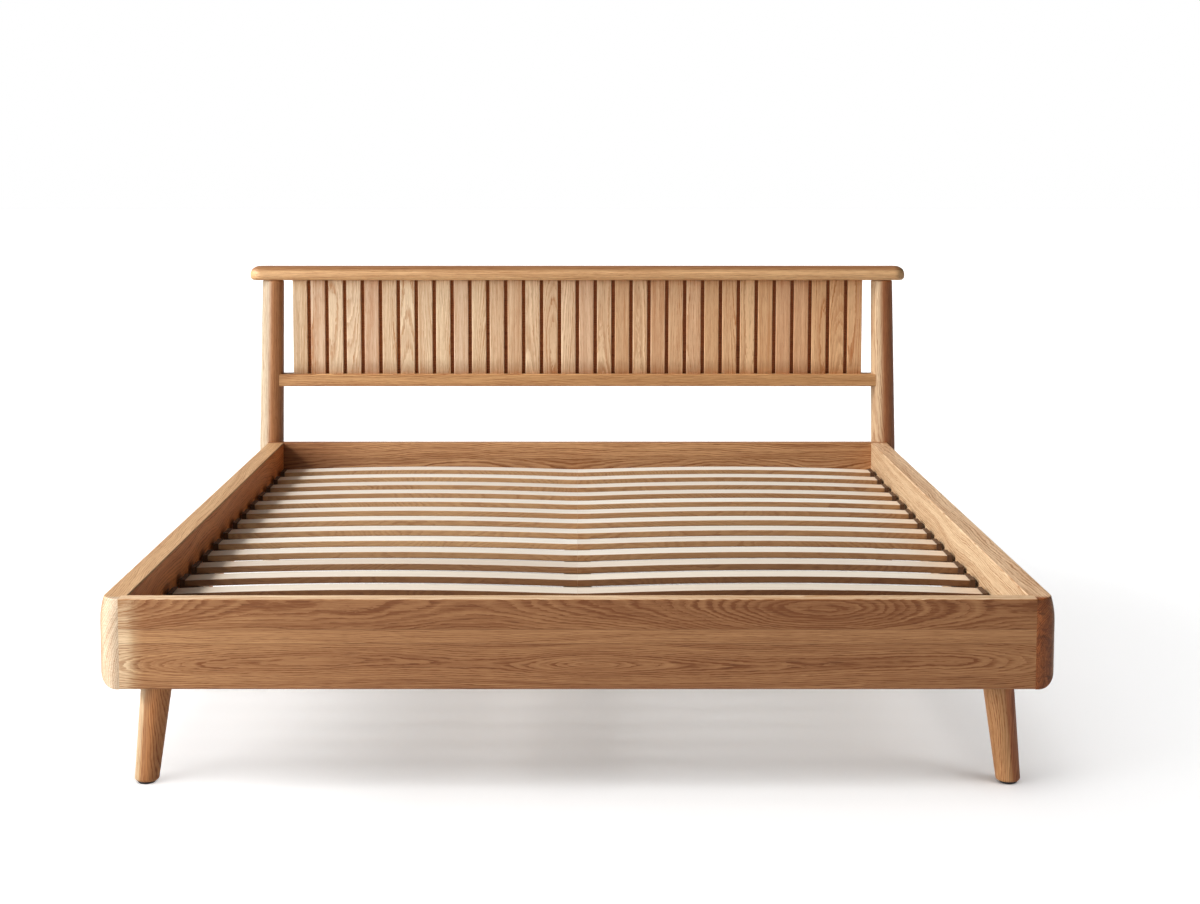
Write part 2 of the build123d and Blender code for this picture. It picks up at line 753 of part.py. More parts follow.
with BuildPart() as front_levelling_foot:
    with Locations((0, support_stations[0])):
        add(levelling_foot.part)

with BuildPart() as rear_levelling_foot:
    with Locations((0, support_stations[1])):
        add(levelling_foot.part)

# Bed bolt: head in the post's counterbore, shank through post and head rail into the side rail
with BuildPart() as right_bed_bolts:
    bolt_length = post_y + bolt_seat - nut_y + bolt_tail
    with Locations(*bolt_planes(post_y + bolt_seat)):
        Cylinder(bolt_diameter / 2, bolt_length, align=(Align.CENTER, Align.CENTER, Align.MAX))
        Cylinder(bolt_head_diameter / 2, bolt_head_height, align=(Align.CENTER, Align.CENTER, Align.MIN))

with BuildPart() as bed_bolts:
    add(right_bed_bolts.part)
    mirror(about=Plane.YZ)

# Barrel nuts across the bolts, inside the side rails
with BuildPart() as barrel_nuts:
    with Locations(*[(bolt_x, nut_y, level) for level in bolt_levels]):
        Cylinder(nut_diameter / 2, nut_length, rotation=(0, 90, 0))
    with Locations(*bolt_planes(nut_y + nut_diameter)):
        Hole(radius=bolt_diameter / 2 + screw_clearance, depth=2 * nut_diameter)
    mirror(about=Plane.YZ)

# Lag screws of the brackets, hangers and ledgers
with BuildPart() as lag_screw:
    with BuildSketch():
        RegularPolygon(lag_head_width / 2, 6, major_radius=False)
    extrude(amount=lag_head_height)
    Cylinder(lag_diameter / 2, lag_length, align=(Align.CENTER, Align.CENTER, Align.MAX))

screw_planes = [*hanger_planes(foot_back, 1), *hanger_planes(head_front, -1)]
for side in (-1, 1):
    screw_planes += [*bracket_foot_planes(side), *bracket_side_planes(side), *ledger_planes(side)]
with BuildPart() as lag_screws:
    with Locations(*screw_planes):
        add(lag_screw.part)

# Bowed slat of the right-hand side, drilled underneath for the holder's and the pad's pins
with BuildPart() as right_slat:
    with BuildSketch(Plane.XZ):
        add(slat_profile(0))
    extrude(amount=slat_width / 2, both=True)
    long_edges = right_slat.edges().filter_by(GeomType.CIRCLE)
    chamfer(long_edges, slat_edge)
    with Locations((slat_start + pin_inset, 0, slat_end_bottom), (slat_finish - pin_inset, 0, slat_end_bottom)):
        Cylinder(
            radius=pin_diameter / 2 + slat_clearance,
            height=pin_length + 2 * slat_clearance,
            align=(Align.CENTER, Align.CENTER, Align.MIN),
            mode=Mode.SUBTRACT,
        )

with BuildPart() as left_slat:
    mirror(right_slat.part, about=Plane.YZ)

# Holder: a saddle under the slat's end with low cheeks that rise to a short cap
with BuildPart() as right_holder:
    holder_end = slat_finish + slat_clearance + holder_wall
    holder_half = slat_width / 2 + slat_clearance + holder_wall
    cap_top = slat_end_top + slat_clearance + holder_cap_thickness
    cap_start = slat_finish - holder_cap
    with BuildSketch(Plane.XZ.offset(-holder_half)) as holder_side:
        with BuildLine():
            Polyline(
                (holder_end - holder_length, ledger_top),
                (holder_end, ledger_top),
                (holder_end, cap_top),
                (cap_start, cap_top),
                (cap_start, slat_end_bottom + holder_cheek),
                (holder_end - holder_length, slat_end_bottom),
                close=True,
            )
        make_face()
    extrude(amount=2 * holder_half)
    with BuildSketch(Plane.XZ):
        add(slat_profile(slat_clearance))
    extrude(amount=slat_width / 2 + slat_clearance, both=True, mode=Mode.SUBTRACT)
    with Locations((slat_finish - pin_inset, 0, ledger_top)):
        Cylinder(peg_diameter / 2, peg_length, align=(Align.CENTER, Align.CENTER, Align.MAX))
    with Locations((slat_finish - pin_inset, 0, ledger_top + holder_base / 2)):
        Cylinder(
            pin_diameter / 2,
            holder_base / 2 + pin_length,
            align=(Align.CENTER, Align.CENTER, Align.MIN),
        )

with BuildPart() as left_holder:
    mirror(right_holder.part, about=Plane.YZ)

with BuildPart() as slat_holders:
    with Locations(*[(0, station, 0) for station in slat_stations]):
        add(right_holder.part)
        add(left_holder.part)

# Pad on the beam under the inner ends of a slat pair
with BuildPart() as centre_pad:
    with Locations((0, 0, ledger_top)):
        Box(pad_length, pad_width, holder_base, align=(Align.CENTER, Align.CENTER, Align.MIN))
        Cylinder(peg_diameter / 2, peg_length, align=(Align.CENTER, Align.CENTER, Align.MAX))
    chamfer(centre_pad.edges().filter_by(Axis.Z), holder_wall)
    with Locations((slat_start + pin_inset, 0, slat_end_bottom), (-slat_start - pin_inset, 0, slat_end_bottom)):
        Cylinder(pin_diameter / 2, pin_length, align=(Align.CENTER, Align.CENTER, Align.MIN))

with BuildPart() as centre_slat_pads:
    with Locations(*[(0, station, 0) for station in slat_stations]):
        add(centre_pad.part)

# Every piece under its own name
pieces = {
    "headboard_top_rail": headboard_top_rail,
    "headboard_lower_rail": headboard_lower_rail,
    "headboard_back_panel": headboard_back_panel,
    "headboard_slats": headboard_slats,
    "left_post": left_post,
    "right_post": right_post,
    "head_rail": head_rail,
    "foot_rail": foot_rail,
    "left_side_rail": left_side_rail,
    "right_side_rail": right_side_rail,
    "left_ledger": left_ledger,
    "right_ledger": right_ledger,
    "left_corner_bracket": left_corner_bracket,
    "right_corner_bracket": right_corner_bracket,
    "left_front_leg": left_front_leg,
    "right_front_leg": right_front_leg,
    "leg_hanger_bolts": leg_hanger_bolts,
    "floor_glides": floor_glides,
    "centre_beam": centre_beam,
    "foot_beam_hanger": foot_beam_hanger,
    "head_beam_hanger": head_beam_hanger,
    "front_support_leg": front_support_leg,
    "rear_support_leg": rear_support_leg,
    "front_levelling_foot": front_levelling_foot,
    "rear_levelling_foot": rear_levelling_foot,
    "bed_bolts": bed_bolts,
    "barrel_nuts": barrel_nuts,
    "lag_screws": lag_screws,
    "slat_holders": slat_holders,
    "centre_slat_pads": centre_slat_pads,
}
for row, station in enumerate(slat_stations, start=1):
    with BuildPart() as row_left:
        with Locations((0, station)):
            add(left_slat.part)
    with BuildPart() as row_right:
        with Locations((0, station)):
            add(right_slat.part)
    pieces[f"left_slat_{row:02d}"] = row_left
    pieces[f"right_slat_{row:02d}"] = row_right

os.makedirs("parts", exist_ok=True)
for label, piece in pieces.items():
    piece.part.label = label
    export_step(piece.part, f"parts/{label}.step")
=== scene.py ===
"""Dresses an oak bed frame: grain on every board, soft bowed slats, and a white studio round it.

Everything is in metres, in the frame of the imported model: X across the bed, +Y from the
foot end to the head end, +Z up, with the origin on the floor under the middle.
"""

import math

import bpy
import numpy as np
from bpy.props import FloatProperty, FloatVectorProperty, IntProperty, PointerProperty
from bpy.types import NodeSocket, Operator, Panel, PropertyGroup
from mathutils import Euler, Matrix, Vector


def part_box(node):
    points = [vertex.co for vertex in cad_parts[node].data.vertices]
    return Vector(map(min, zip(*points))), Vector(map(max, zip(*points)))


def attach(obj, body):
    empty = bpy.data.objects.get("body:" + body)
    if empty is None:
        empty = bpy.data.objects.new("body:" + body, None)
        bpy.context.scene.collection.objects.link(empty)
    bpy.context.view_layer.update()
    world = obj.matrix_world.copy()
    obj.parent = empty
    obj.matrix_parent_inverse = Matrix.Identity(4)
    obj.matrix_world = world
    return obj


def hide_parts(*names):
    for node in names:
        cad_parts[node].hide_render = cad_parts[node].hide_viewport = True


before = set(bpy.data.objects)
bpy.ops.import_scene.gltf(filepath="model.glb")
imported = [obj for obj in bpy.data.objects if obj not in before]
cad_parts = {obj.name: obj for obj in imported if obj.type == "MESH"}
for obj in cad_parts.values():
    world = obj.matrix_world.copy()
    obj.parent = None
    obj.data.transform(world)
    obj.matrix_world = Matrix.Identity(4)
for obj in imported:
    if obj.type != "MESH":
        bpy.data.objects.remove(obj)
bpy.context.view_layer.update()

bl_info = {
    "name": "Oak Bed Frame",
    "version": (1, 0, 0),
    "blender": (4, 5, 0),
    "location": "3D View > Sidebar > Bed",
    "description": "Finishes, slats and studio of a slatted oak bed frame",
    "category": "Object",
}

SLAT_ROWS = sum(name.startswith("left_slat_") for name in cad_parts)
SIDES = ("left", "right")


def middle(node):
    """Middle of a node's box."""
    low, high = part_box(node)
    return (low + high) / 2


def span(node):
    """Size of a node's box."""
    low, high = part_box(node)
    return high - low


# ---------------------------------------------------------------- settings


def amount(name, description, default):
    return FloatProperty(name=name, description=description, default=default)


def length(name, description, default):
    return FloatProperty(
        name=name, description=description, default=default, subtype="DISTANCE", unit="LENGTH"
    )


def angle(name, description, default):
    return FloatProperty(
        name=name, description=description, default=default, subtype="ANGLE", unit="ROTATION"
    )


def colour(name, description, default):
    return FloatVectorProperty(
        name=name, description=description, default=default, subtype="COLOR", min=0, max=1
    )


class BedSizes(PropertyGroup):
    """Sizes of the pieces that are worked out here."""

    slat_thickness: length("Slat thickness", "Height of a bed slat's edge", 0.016)
    slat_easing: length("Slat easing", "Radius of a bed slat's edges", 0.0025)
    slat_valley: length("Slat valley", "Lift of the bed slats where the two of a row meet", 0.0016)
    upright_easing: length("Upright easing", "Radius of a headboard slat's edges", 0.0022)
    upright_count: IntProperty(
        name="Uprights", description="Number of headboard slats", default=32, min=2
    )
    upright_width: length("Upright width", "Width of a headboard slat", 0.0445)


class BedFinishes(PropertyGroup):
    """Colours and grain of the timber, plastic and steel, and tones of painted light and shade on
    the oak and slats.
    """

    foot_oak: colour("Foot rail oak", "Middle tone of the foot rail", (0.325, 0.142, 0.0545))
    head_oak: colour("Head rail oak", "Middle tone of the head rail", (0.42, 0.203, 0.086))
    # painted shadow of the left side rail on the head rail's left end
    head_end_shadow: colour("Dark oak", "Tone of the head rail's left end", (0.30, 0.124, 0.047))
    side_oak: colour(
        "Side rail oak", "Middle tone of the side rails' outer faces", (0.36, 0.17, 0.072)
    )
    # painted shade: the left rail's inner face, which lies in shade, gets a warmer, redder tone
    # than its outside
    left_inner_shade: colour(
        "Left rail inside", "Tone of the left side rail's inner face", (0.76, 0.266, 0.080)
    )
    # painted light: the right rail's inner face, which faces the lamp, gets a paler tone than its
    # outside
    right_inner_light: colour(
        "Right rail inside", "Tone of the right side rail's inner face", (0.485, 0.325, 0.188)
    )
    # painted light on the side rails' upper edges, paler where light falls from above
    left_top_lit: colour(
        "Left rail top", "Tone of the left side rail's upper edge", (0.525, 0.30, 0.142)
    )
    right_top_lit: colour(
        "Right rail top", "Tone of the right side rail's upper edge", (0.66, 0.42, 0.245)
    )
    left_leg_oak: colour("Left leg oak", "Middle tone of the left front leg", (0.48, 0.20, 0.068))
    # painted shade on the left front leg's left-facing half
    left_leg_shade: colour(
        "Left leg, left half", "Tone of the left front leg's left half", (0.35, 0.172, 0.068)
    )
    # painted highlight on the left front leg's outermost left edge
    left_leg_highlight: colour(
        "Left leg, lit edge", "Tone of the left front leg's outermost edge", (0.43, 0.30, 0.175)
    )
    # painted shade on the right front leg's right side
    right_leg_shade: colour(
        "Right leg oak", "Tone of the right front leg's right side", (0.44, 0.15, 0.052)
    )
    # painted light on the right front leg's front and left
    right_leg_lit_side: colour(
        "Right leg, lit side", "Tone of the right front leg's front and left", (0.515, 0.255, 0.104)
    )
    # painted sheen along the foot rail's upper edge, where light glances off it
    foot_top_sheen: colour(
        "Rubbed oak", "Tone of the foot rail's upper edge, paler with use", (0.775, 0.553, 0.346)
    )
    # painted light on the foot rail's left end, which faces the lamp
    foot_end_light: colour(
        "Sunned oak", "Tone of the foot rail's left end, which faces the light", (0.46, 0.27, 0.135)
    )
    # painted highlight on the foot rail beside its left joint, where the lamp glares on the corner
    foot_corner_glare: colour(
        "Bleached oak", "Tone of the foot rail beside its left joint", (0.62, 0.410, 0.238)
    )
    # painted light on the foot rail's left quarter, fading towards the middle
    foot_left_light: colour("Warm oak", "Tone of the foot rail's left quarter", (0.366, 0.169, 0.067))
    # painted light on the left rail's end grain, which faces the lamp, and painted shade on the
    # right rail's, which faces away
    left_butt_light: colour("Left butt", "End grain of the left side rail", (0.535, 0.386, 0.257))
    right_butt_shade: colour("Right butt", "End grain of the right side rail", (0.315, 0.094, 0.025))
    shaded_cap: colour(
        "Top of the headboard",
        "Tone of the upper side of the headboard's top rail",
        (0.31, 0.14, 0.054),
    )
    # painted light and shade: the left post gets a lighter tone and the right post a darker one
    left_post_lit: colour("Left post oak", "Middle tone of the left post", (0.435, 0.190, 0.077))
    right_post_shaded: colour("Right post oak", "Middle tone of the right post", (0.345, 0.121, 0.042))
    # painted highlight on the posts' left sides
    left_post_highlight: colour(
        "Left post, lit side", "Tone of the left post on its left", (0.455, 0.347, 0.236)
    )
    right_post_highlight: colour(
        "Right post, lit side", "Tone of the right post on its left", (0.47, 0.307, 0.174)
    )
    cap_oak: colour("Top rail oak", "Middle tone of the headboard's top rail", (0.61, 0.353, 0.167))
    sill_oak: colour(
        "Lower rail oak", "Middle tone of the headboard's lower rail", (0.50, 0.255, 0.103)
    )
    # the headboard slats' tone at the left, the lit end of their painted shade
    upright_oak: colour(
        "Upright oak", "Middle tone of the headboard slats on the left", (0.665, 0.46, 0.293)
    )
    # painted shade: the headboard slats' darker tone at the right
    right_upright_shade: colour(
        "Far upright oak", "Middle tone of the headboard slats on the right", (0.635, 0.355, 0.176)
    )
    panel_oak: colour(
        "Back panel oak", "Middle tone of the panel behind the slats", (0.36, 0.18, 0.08)
    )
    # painted shade in the gaps between the headboard slats
    gap_shade: colour(
        "Gap oak", "Tone of that panel's front, between the slats", (0.38, 0.118, 0.026)
    )
    slat_cream: colour("Slat top", "Middle tone of the bed slats' faces", (0.735, 0.66, 0.57))
    # the slats' edge tone, darker partly for the plies and partly as painted shade
    slat_edge: colour("Slat edge", "Middle tone of the bed slats' edges", (0.31, 0.15, 0.065))
    beech: colour("Beech", "Middle tone of the beam, ledgers and centre legs", (0.55, 0.36, 0.21))
    plastic: colour("Plastic", "Colour of the holders, glides and feet", (0.012, 0.012, 0.013))
    holder_plastic: colour("Holder plastic", "Colour of the slat holders", (0.072, 0.03, 0.011))
    nylon: colour("Nylon", "Colour of the pads on the centre beam", (0.55, 0.48, 0.38))
    zinc: colour("Zinc", "Colour of the steel fittings", (0.58, 0.59, 0.60))
    ring_width: length("Ring width", "Usual width of an oak growth ring", 0.0038)


class BedStudio(PropertyGroup):
    """Camera, lights and floor."""

    lens: amount("Lens", "Focal length in millimetres", 56.278)
    eye_height: length("Eye height", "Camera above the floor", 1.2874)
    eye_distance: length("Eye distance", "Camera in front of the bed's middle", 4.770)
    pitch: angle("Pitch", "Downward tilt of the camera", math.radians(5.0))
    shift_x: amount("Shift X", "Sideways lens shift", 0.0188)
    shift_y: amount("Shift Y", "Vertical lens shift", -0.1097)
    key: amount("Window", "Strength of the low light on the bed", 3.0)
    floor_front: amount("Floor front", "Strength of the floor's light from the front", 0.35)
    floor_top: amount("Floor top", "Strength of the floor's broad light from above", 1.40)
    floor_right: amount("Floor right", "Strength of the floor's low light from the right", 1.47)
    floor_side: amount("Floor side", "Power of the floor's panel on the left", 50.0)
    side: amount("Side", "Power of the panel at the left foot corner", 128.0)
    fill: amount("Fill", "Power of the panel on the left of the headboard", 42.0)
    sky_left: amount("Sky left", "Brightness of the surroundings on the left", 0.85)
    sky_right: amount("Sky right", "Brightness of the surroundings on the right", 0.05)
    floor: colour("Floor", "Colour of the floor", (0.93, 0.93, 0.93))


def sizes():
    return bpy.context.scene.bed_sizes


def finishes():
    return bpy.context.scene.bed_finishes


def studio():
    return bpy.context.scene.bed_studio


# ---------------------------------------------------------------- finishes


SHEEN = 0.35  # strength of the reflections on every surface
WHITE = (1.0, 1.0, 1.0, 1.0)


class Finish:
    """A material under construction, with short names for the nodes that it needs."""

    def __init__(self, name):
        self.material = bpy.data.materials.new(name)
        self.material.use_nodes = True
        self.tree = self.material.node_tree
        self.shader = self.tree.nodes["Principled BSDF"]

    def plug(self, value, socket):
        """Links a socket, or sets a plain value."""
        if isinstance(value, NodeSocket):
            self.tree.links.new(value, socket)
        else:
            socket.default_value = value

    def add(self, kind, plugs=None, **settings):
        node = self.tree.nodes.new(kind)
        for name, value in settings.items():
            setattr(node, name, value)
        for name, value in (plugs or {}).items():
            self.plug(value, node.inputs[name])
        return node

    def math(self, operation, *values):
        node = self.add("ShaderNodeMath", operation=operation)
        for socket, value in zip(node.inputs, values):
            self.plug(value, socket)
        return node.outputs[0]

    def vector(self, operation, *values):
        node = self.add("ShaderNodeVectorMath", operation=operation)
        for socket, value in zip(node.inputs, values):
            self.plug(value, socket)
        return node.outputs["Value" if operation == "LENGTH" else "Vector"]

    def place(self):
        """Object coordinates, which are places on the bed in metres."""
        return self.add("ShaderNodeTexCoord").outputs["Object"]

    def facing_left(self):
        """The surface's direction towards -X, from -1 to 1."""
        normal = self.add("ShaderNodeTexCoord").outputs["Normal"]
        return self.math("MULTIPLY", self.parts(normal)["X"], -1.0)

    def parts(self, vector):
        return self.add("ShaderNodeSeparateXYZ", {"Vector": vector}).outputs

    def joined(self, x, y, z):
        return self.add("ShaderNodeCombineXYZ", {"X": x, "Y": y, "Z": z}).outputs[0]

    def noise(self, place, stretch, detail=2.0, rough=0.5):
        """Noise with its own density per metre along each axis."""
        scaled = self.vector("MULTIPLY", place, stretch)
        plugs = {"Vector": scaled, "Scale": 1.0, "Detail": detail, "Roughness": rough}
        return self.add("ShaderNodeTexNoise", plugs).outputs

    def chance(self, number):
        """A random value and a random colour for each whole number."""
        return self.add("ShaderNodeTexWhiteNoise", {"W": number}, noise_dimensions="1D").outputs

    def remap(self, value, low, high, to_low=0.0, to_high=1.0, smooth=False):
        limits = {"From Min": low, "From Max": high, "To Min": to_low, "To Max": to_high}
        return self.add(
            "ShaderNodeMapRange",
            {"Value": value, **limits},
            interpolation_type="SMOOTHSTEP" if smooth else "LINEAR",
        ).outputs[0]

    def mix(self, factor, first, second):
        node = self.add("ShaderNodeMix", data_type="RGBA")
        for index, value in ((0, factor), (6, first), (7, second)):
            self.plug(value, node.inputs[index])
        return node.outputs[2]

    def cast(self, tone, factors):
        """A tone times a factor for each channel."""
        return self.vector("MULTIPLY", tone, factors)

    def centred(self, value):
        """A noise colour moved so that its middle is zero."""
        return self.vector("SUBTRACT", value, (0.5, 0.5, 0.5))

    def bump(self, height, strength, depth):
        return self.add(
            "ShaderNodeBump", {"Height": height, "Strength": strength, "Distance": depth}
        ).outputs[0]

    def done(self, base, roughness, normal, metal=0.0):
        self.plug(base, self.shader.inputs["Base Color"])
        self.plug(roughness, self.shader.inputs["Roughness"])
        self.plug(normal, self.shader.inputs["Normal"])
        self.shader.inputs["Metallic"].default_value = metal
        self.shader.inputs["Specular IOR Level"].default_value = SHEEN
        return self.material


def dye(tone, cast):
    """A tone times a factor for each channel."""
    return [min(1.0, channel * factor) for channel, factor in zip(tone, cast)] + [1.0]


def shade(tone, factor):
    """A tone made lighter or darker."""
    return dye(tone, (factor, factor, factor))


def ratio(tone, other):
    """The factor for each channel that turns a tone into another."""
    return [after / before for before, after in zip(tone, other)]


# Grain. Densities are per metre along, across and into a board, and lengths in metres.
GRAIN_AXES = {"X": ("X", "Z", "Y"), "Y": ("Y", "Z", "X"), "Z": ("Z", "X", "Y")}
BOARD_SHIFT = 9.0  # along the tree between boards, at most
FIBRE_SHIFT = 5.0  # across the tree, for fibres and pores
SLOW_SWAY = (1.2, 1.7, 1.7)
SLOW_REACH = (0.0, 0.04, 0.20)
QUICK_SWAY = (14.0, 40.0, 40.0)
QUICK_REACH = (0.0, 0.006, 0.006)
FINE_SWAY = (60.0, 400.0, 400.0)
FINE_REACH = (0.0, 0.0018, 0.0018)
DASHES = (22.0, 480.0, 480.0)
FIBRES = (7.0, 340.0, 340.0)
PORES = (36.0, 620.0, 620.0)
FINE_LINES = (3.0, 1.7, 1.0)  # along the board and, per ring, across the rings
DARK_SPELLS = (0.7, 0.24, 1.0)
EARLY_FADES, EARLY_STARTS = (0.60, 0.05), (0.90, 1.0)  # shares of a ring's width
YEAR_STRENGTH = (0.35, 1.0)  # of the weakest and the strongest early wood
DASH_LEVELS, DASH_STRENGTH = (0.30, 0.62), (0.25, 1.0)
PORE_LEVELS = (0.56, 0.74)
PORES_EARLY, PORES_LATE = 0.8, 0.2  # strength that early wood adds to them, and that all has
PLAIN_LEVEL = 0.60  # of wood without lines on the ramp from the darkest to the palest tone
RING_WEIGHT, FINE_WEIGHT, SPELL_WEIGHT, FIBRE_WEIGHT = -0.46, 0.60, 0.36, 0.55
DARK_STOP, PLAIN_STOP, PALE_STOP = 0.02, 0.5, 0.98
PALE_CAST = (1.36, 1.52, 1.62)  # of the palest wood
PORE_DEPTH, PORE_COVER = 0.68, 0.5
FIBRE_RELIEF, RING_RELIEF, PORE_RELIEF = 0.5, -0.35, -0.8
USUAL_RELIEF = 0.2
DARK_ROUGH, PALE_ROUGH = 0.52, 0.40
BUMP = (0.35, 0.0008)  # strength and depth


def timber(
    finish,
    place,
    along,
    tone,
    board,
    pith,
    scatter=(0.0, 0.0),
    lean=0.03,
    flame=1.0,
    waver=1.0,
    rings=1.0,
    contrast=1.0,
    tint=0.0,
    line=(0.60, 0.44, 0.31),
):
    """Grain of a board, as colour, roughness and bump.

    Growth rings are shells round a pith line that lies beside the board and leans a little
    along it, so a face cut near it shows long arches. The rings sway with slow, quick and very
    fine noise. Each starts with a dark porous line, broken into dashes along the grain, and
    fades to pale late wood; finer lines run between them, and some years are darker than
    others. Fibres and pores are noise drawn out along the grain. A board number moves the grain
    to another part of the tree, across it by up to scatter, and line is the cast of the darkest
    lines.
    """
    place_parts = finish.parts(place)
    grain_place = finish.joined(*(place_parts[axis] for axis in GRAIN_AXES[along]))
    chance = finish.centred(finish.chance(board)["Color"])
    bent = finish.vector("MULTIPLY_ADD", chance, (BOARD_SHIFT, *scatter), grain_place)
    shift = (BOARD_SHIFT, FIBRE_SHIFT, FIBRE_SHIFT)
    grain_place = finish.vector("MULTIPLY_ADD", chance, shift, grain_place)

    for stretch, reach, share in (
        (SLOW_SWAY, SLOW_REACH, flame),
        (QUICK_SWAY, QUICK_REACH, waver),
        (FINE_SWAY, FINE_REACH, 1.0),
    ):
        sway = finish.centred(finish.noise(grain_place, stretch, 1.0)["Color"])
        bent = finish.vector("MULTIPLY_ADD", sway, [share * step for step in reach], bent)
    bent = finish.parts(bent)
    across = finish.math("SUBTRACT", bent["Y"], pith[0])
    depth = finish.math("SUBTRACT", bent["Z"], pith[1])
    depth = finish.math("MULTIPLY_ADD", bent["X"], lean, depth)
    radius = finish.vector("LENGTH", finish.joined(0.0, across, depth))
    count = finish.math("DIVIDE", radius, finishes().ring_width * rings)
    age = finish.math("FRACT", count)
    year = finish.chance(finish.math("FLOOR", count))["Value"]
    fading = finish.remap(age, *EARLY_FADES, smooth=True)
    starting = finish.remap(age, *EARLY_STARTS, smooth=True)
    early = finish.math("ADD", fading, starting)
    early = finish.math("MULTIPLY", early, finish.remap(year, 0.0, 1.0, *YEAR_STRENGTH))
    dashes = finish.noise(grain_place, DASHES, 1.0)["Fac"]
    early = finish.math("MULTIPLY", early, finish.remap(dashes, *DASH_LEVELS, *DASH_STRENGTH))
    ring_line = finish.joined(bent["X"], count, pith[1])
    fine = finish.noise(ring_line, FINE_LINES, 2.0, 0.6)["Fac"]
    spell = finish.noise(ring_line, DARK_SPELLS, 1.0)["Fac"]

    fibres = finish.noise(grain_place, FIBRES, 3.0, 0.6)["Fac"]
    pores = finish.remap(finish.noise(grain_place, PORES, 0.0)["Fac"], *PORE_LEVELS)
    porous = finish.math("MULTIPLY_ADD", early, PORES_EARLY, PORES_LATE)
    pores = finish.math("MULTIPLY", pores, porous)

    level = finish.math("MULTIPLY_ADD", early, RING_WEIGHT * contrast, PLAIN_LEVEL)
    for streak, weight in ((fine, FINE_WEIGHT), (spell, SPELL_WEIGHT), (fibres, FIBRE_WEIGHT)):
        off_middle = finish.math("SUBTRACT", streak, 0.5)
        level = finish.math("MULTIPLY_ADD", off_middle, weight * contrast, level)
    level = finish.math("ADD", level, tint)
    ramp = finish.add("ShaderNodeValToRGB", {"Fac": level})
    stops = ramp.color_ramp.elements
    stops[0].position, stops[0].color = DARK_STOP, dye(tone, line)
    stops[1].position, stops[1].color = PALE_STOP, dye(tone, PALE_CAST)
    stops.new(PLAIN_STOP).color = shade(tone, 1.0)
    covered = finish.math("MULTIPLY", pores, PORE_COVER * contrast)
    pore_tone = dye(tone, [PORE_DEPTH * channel for channel in line])
    base = finish.mix(covered, ramp.outputs[0], pore_tone)

    relief = finish.math("MULTIPLY", early, RING_RELIEF)
    relief = finish.math("MULTIPLY_ADD", fibres, FIBRE_RELIEF, relief)
    relief = finish.math("MULTIPLY_ADD", pores, PORE_RELIEF, relief)
    roughness = finish.remap(level, 0.1, 0.9, DARK_ROUGH, PALE_ROUGH)
    return base, roughness, relief


GLUE_EDGE, GLUE_CORE = 0.0014, 0.0004  # half widths of a glue line
GLUE_COVER, GLUE_SHADE = 0.35, 0.4
RAGGED = 0.0006  # how far the grain moves the border of a change of tone
FULL_CHANGE = 0.3  # share of a change's reach that has the whole of it
WHORL_DRIFT, WHORL_REACH = (45.0, 20.0, 30.0), (0.03, 0.0, 0.05)
WHORL_STREAKS, WHORL_LEVELS = (90.0, 20.0, 150.0), (0.32, 0.66)
WHORL_LIGHTER = 0.6  # how far the pale streaks go, beside how far the dark ones do


def oak(name, along, tone, pith, seed=0.0, staves=(), edges=(), whorl=0.0, **grain):
    """Satin oak.

    Staves are the boards glued on above the first, each with the level of its glue line, its
    own pith and its own tint. Edges are painted light and shade: places where a lit, shaded or
    glossy tone is laid over the grain to stand in for how light falls. Each gives the axis and
    level of an edge, how far the change reaches back from it and its tone there.
    The axis "left" is how far the surface faces left, from -1 to 1. Later edges cover earlier.
    Whorl is how strongly the end grain at an edge along Y is clouded and streaked.
    """
    finish = Finish(name)
    place = finish.place()
    parts = finish.parts(place)
    board, (across, depth), tint = seed, pith, 0.0
    last, glue = (*pith, tint), 0.0
    for joint, *stave in staves:
        above = finish.math("GREATER_THAN", parts["Z"], joint)
        board = finish.math("ADD", board, above)
        across = finish.math("MULTIPLY_ADD", above, stave[0] - last[0], across)
        depth = finish.math("MULTIPLY_ADD", above, stave[1] - last[1], depth)
        tint = finish.math("MULTIPLY_ADD", above, stave[2] - last[2], tint)
        off_joint = finish.math("ABSOLUTE", finish.math("SUBTRACT", parts["Z"], joint))
        glue = finish.math("ADD", glue, finish.remap(off_joint, GLUE_EDGE, GLUE_CORE))
        last = stave
    base, roughness, relief = timber(
        finish, place, along, tone, board, (across, depth), tint=tint, **grain
    )
    if staves:
        base = finish.mix(finish.math("MULTIPLY", glue, GLUE_COVER), base, shade(tone, GLUE_SHADE))
    ragged = finish.math("MULTIPLY", finish.math("SUBTRACT", relief, USUAL_RELIEF), RAGGED)
    plain = base
    # each edge lays a tone of painted light, shade or sheen over the grain
    for axis, level, reach, other in edges:
        if axis == "left":
            there = finish.facing_left()
        else:
            there = finish.math("ADD", parts[axis], ragged)
        changed = finish.remap(there, level - reach, level - FULL_CHANGE * reach, smooth=True)
        edge = finish.cast(plain, ratio(tone, other))
        if axis == "Y" and whorl:
            drift = finish.noise(place, WHORL_DRIFT, 1.0)["Color"]
            drifted = finish.vector("MULTIPLY_ADD", drift, WHORL_REACH, place)
            streaks = finish.noise(drifted, WHORL_STREAKS, 2.0, 0.6)["Fac"]
            casts = (1.0 - whorl, 1.0 + WHORL_LIGHTER * whorl)
            streaks = finish.remap(streaks, *WHORL_LEVELS, *casts)
            edge = finish.cast(edge, finish.joined(streaks, streaks, streaks))
        base = finish.mix(changed, base, edge)
    return finish.done(base, roughness, finish.bump(relief, *BUMP))


UPRIGHT_PITH = 0.035  # in front of the headboard slats
UPRIGHT_TINT, UPRIGHT_GREEN, UPRIGHT_BLUE = (-0.12, 0.12), (0.985, 1.015), (0.95, 1.05)
# painted shade across the headboard slats, darker towards the right
SHADE_TO_RIGHT = (0.25, 0.95)  # of the headboard's width, where it starts and ends


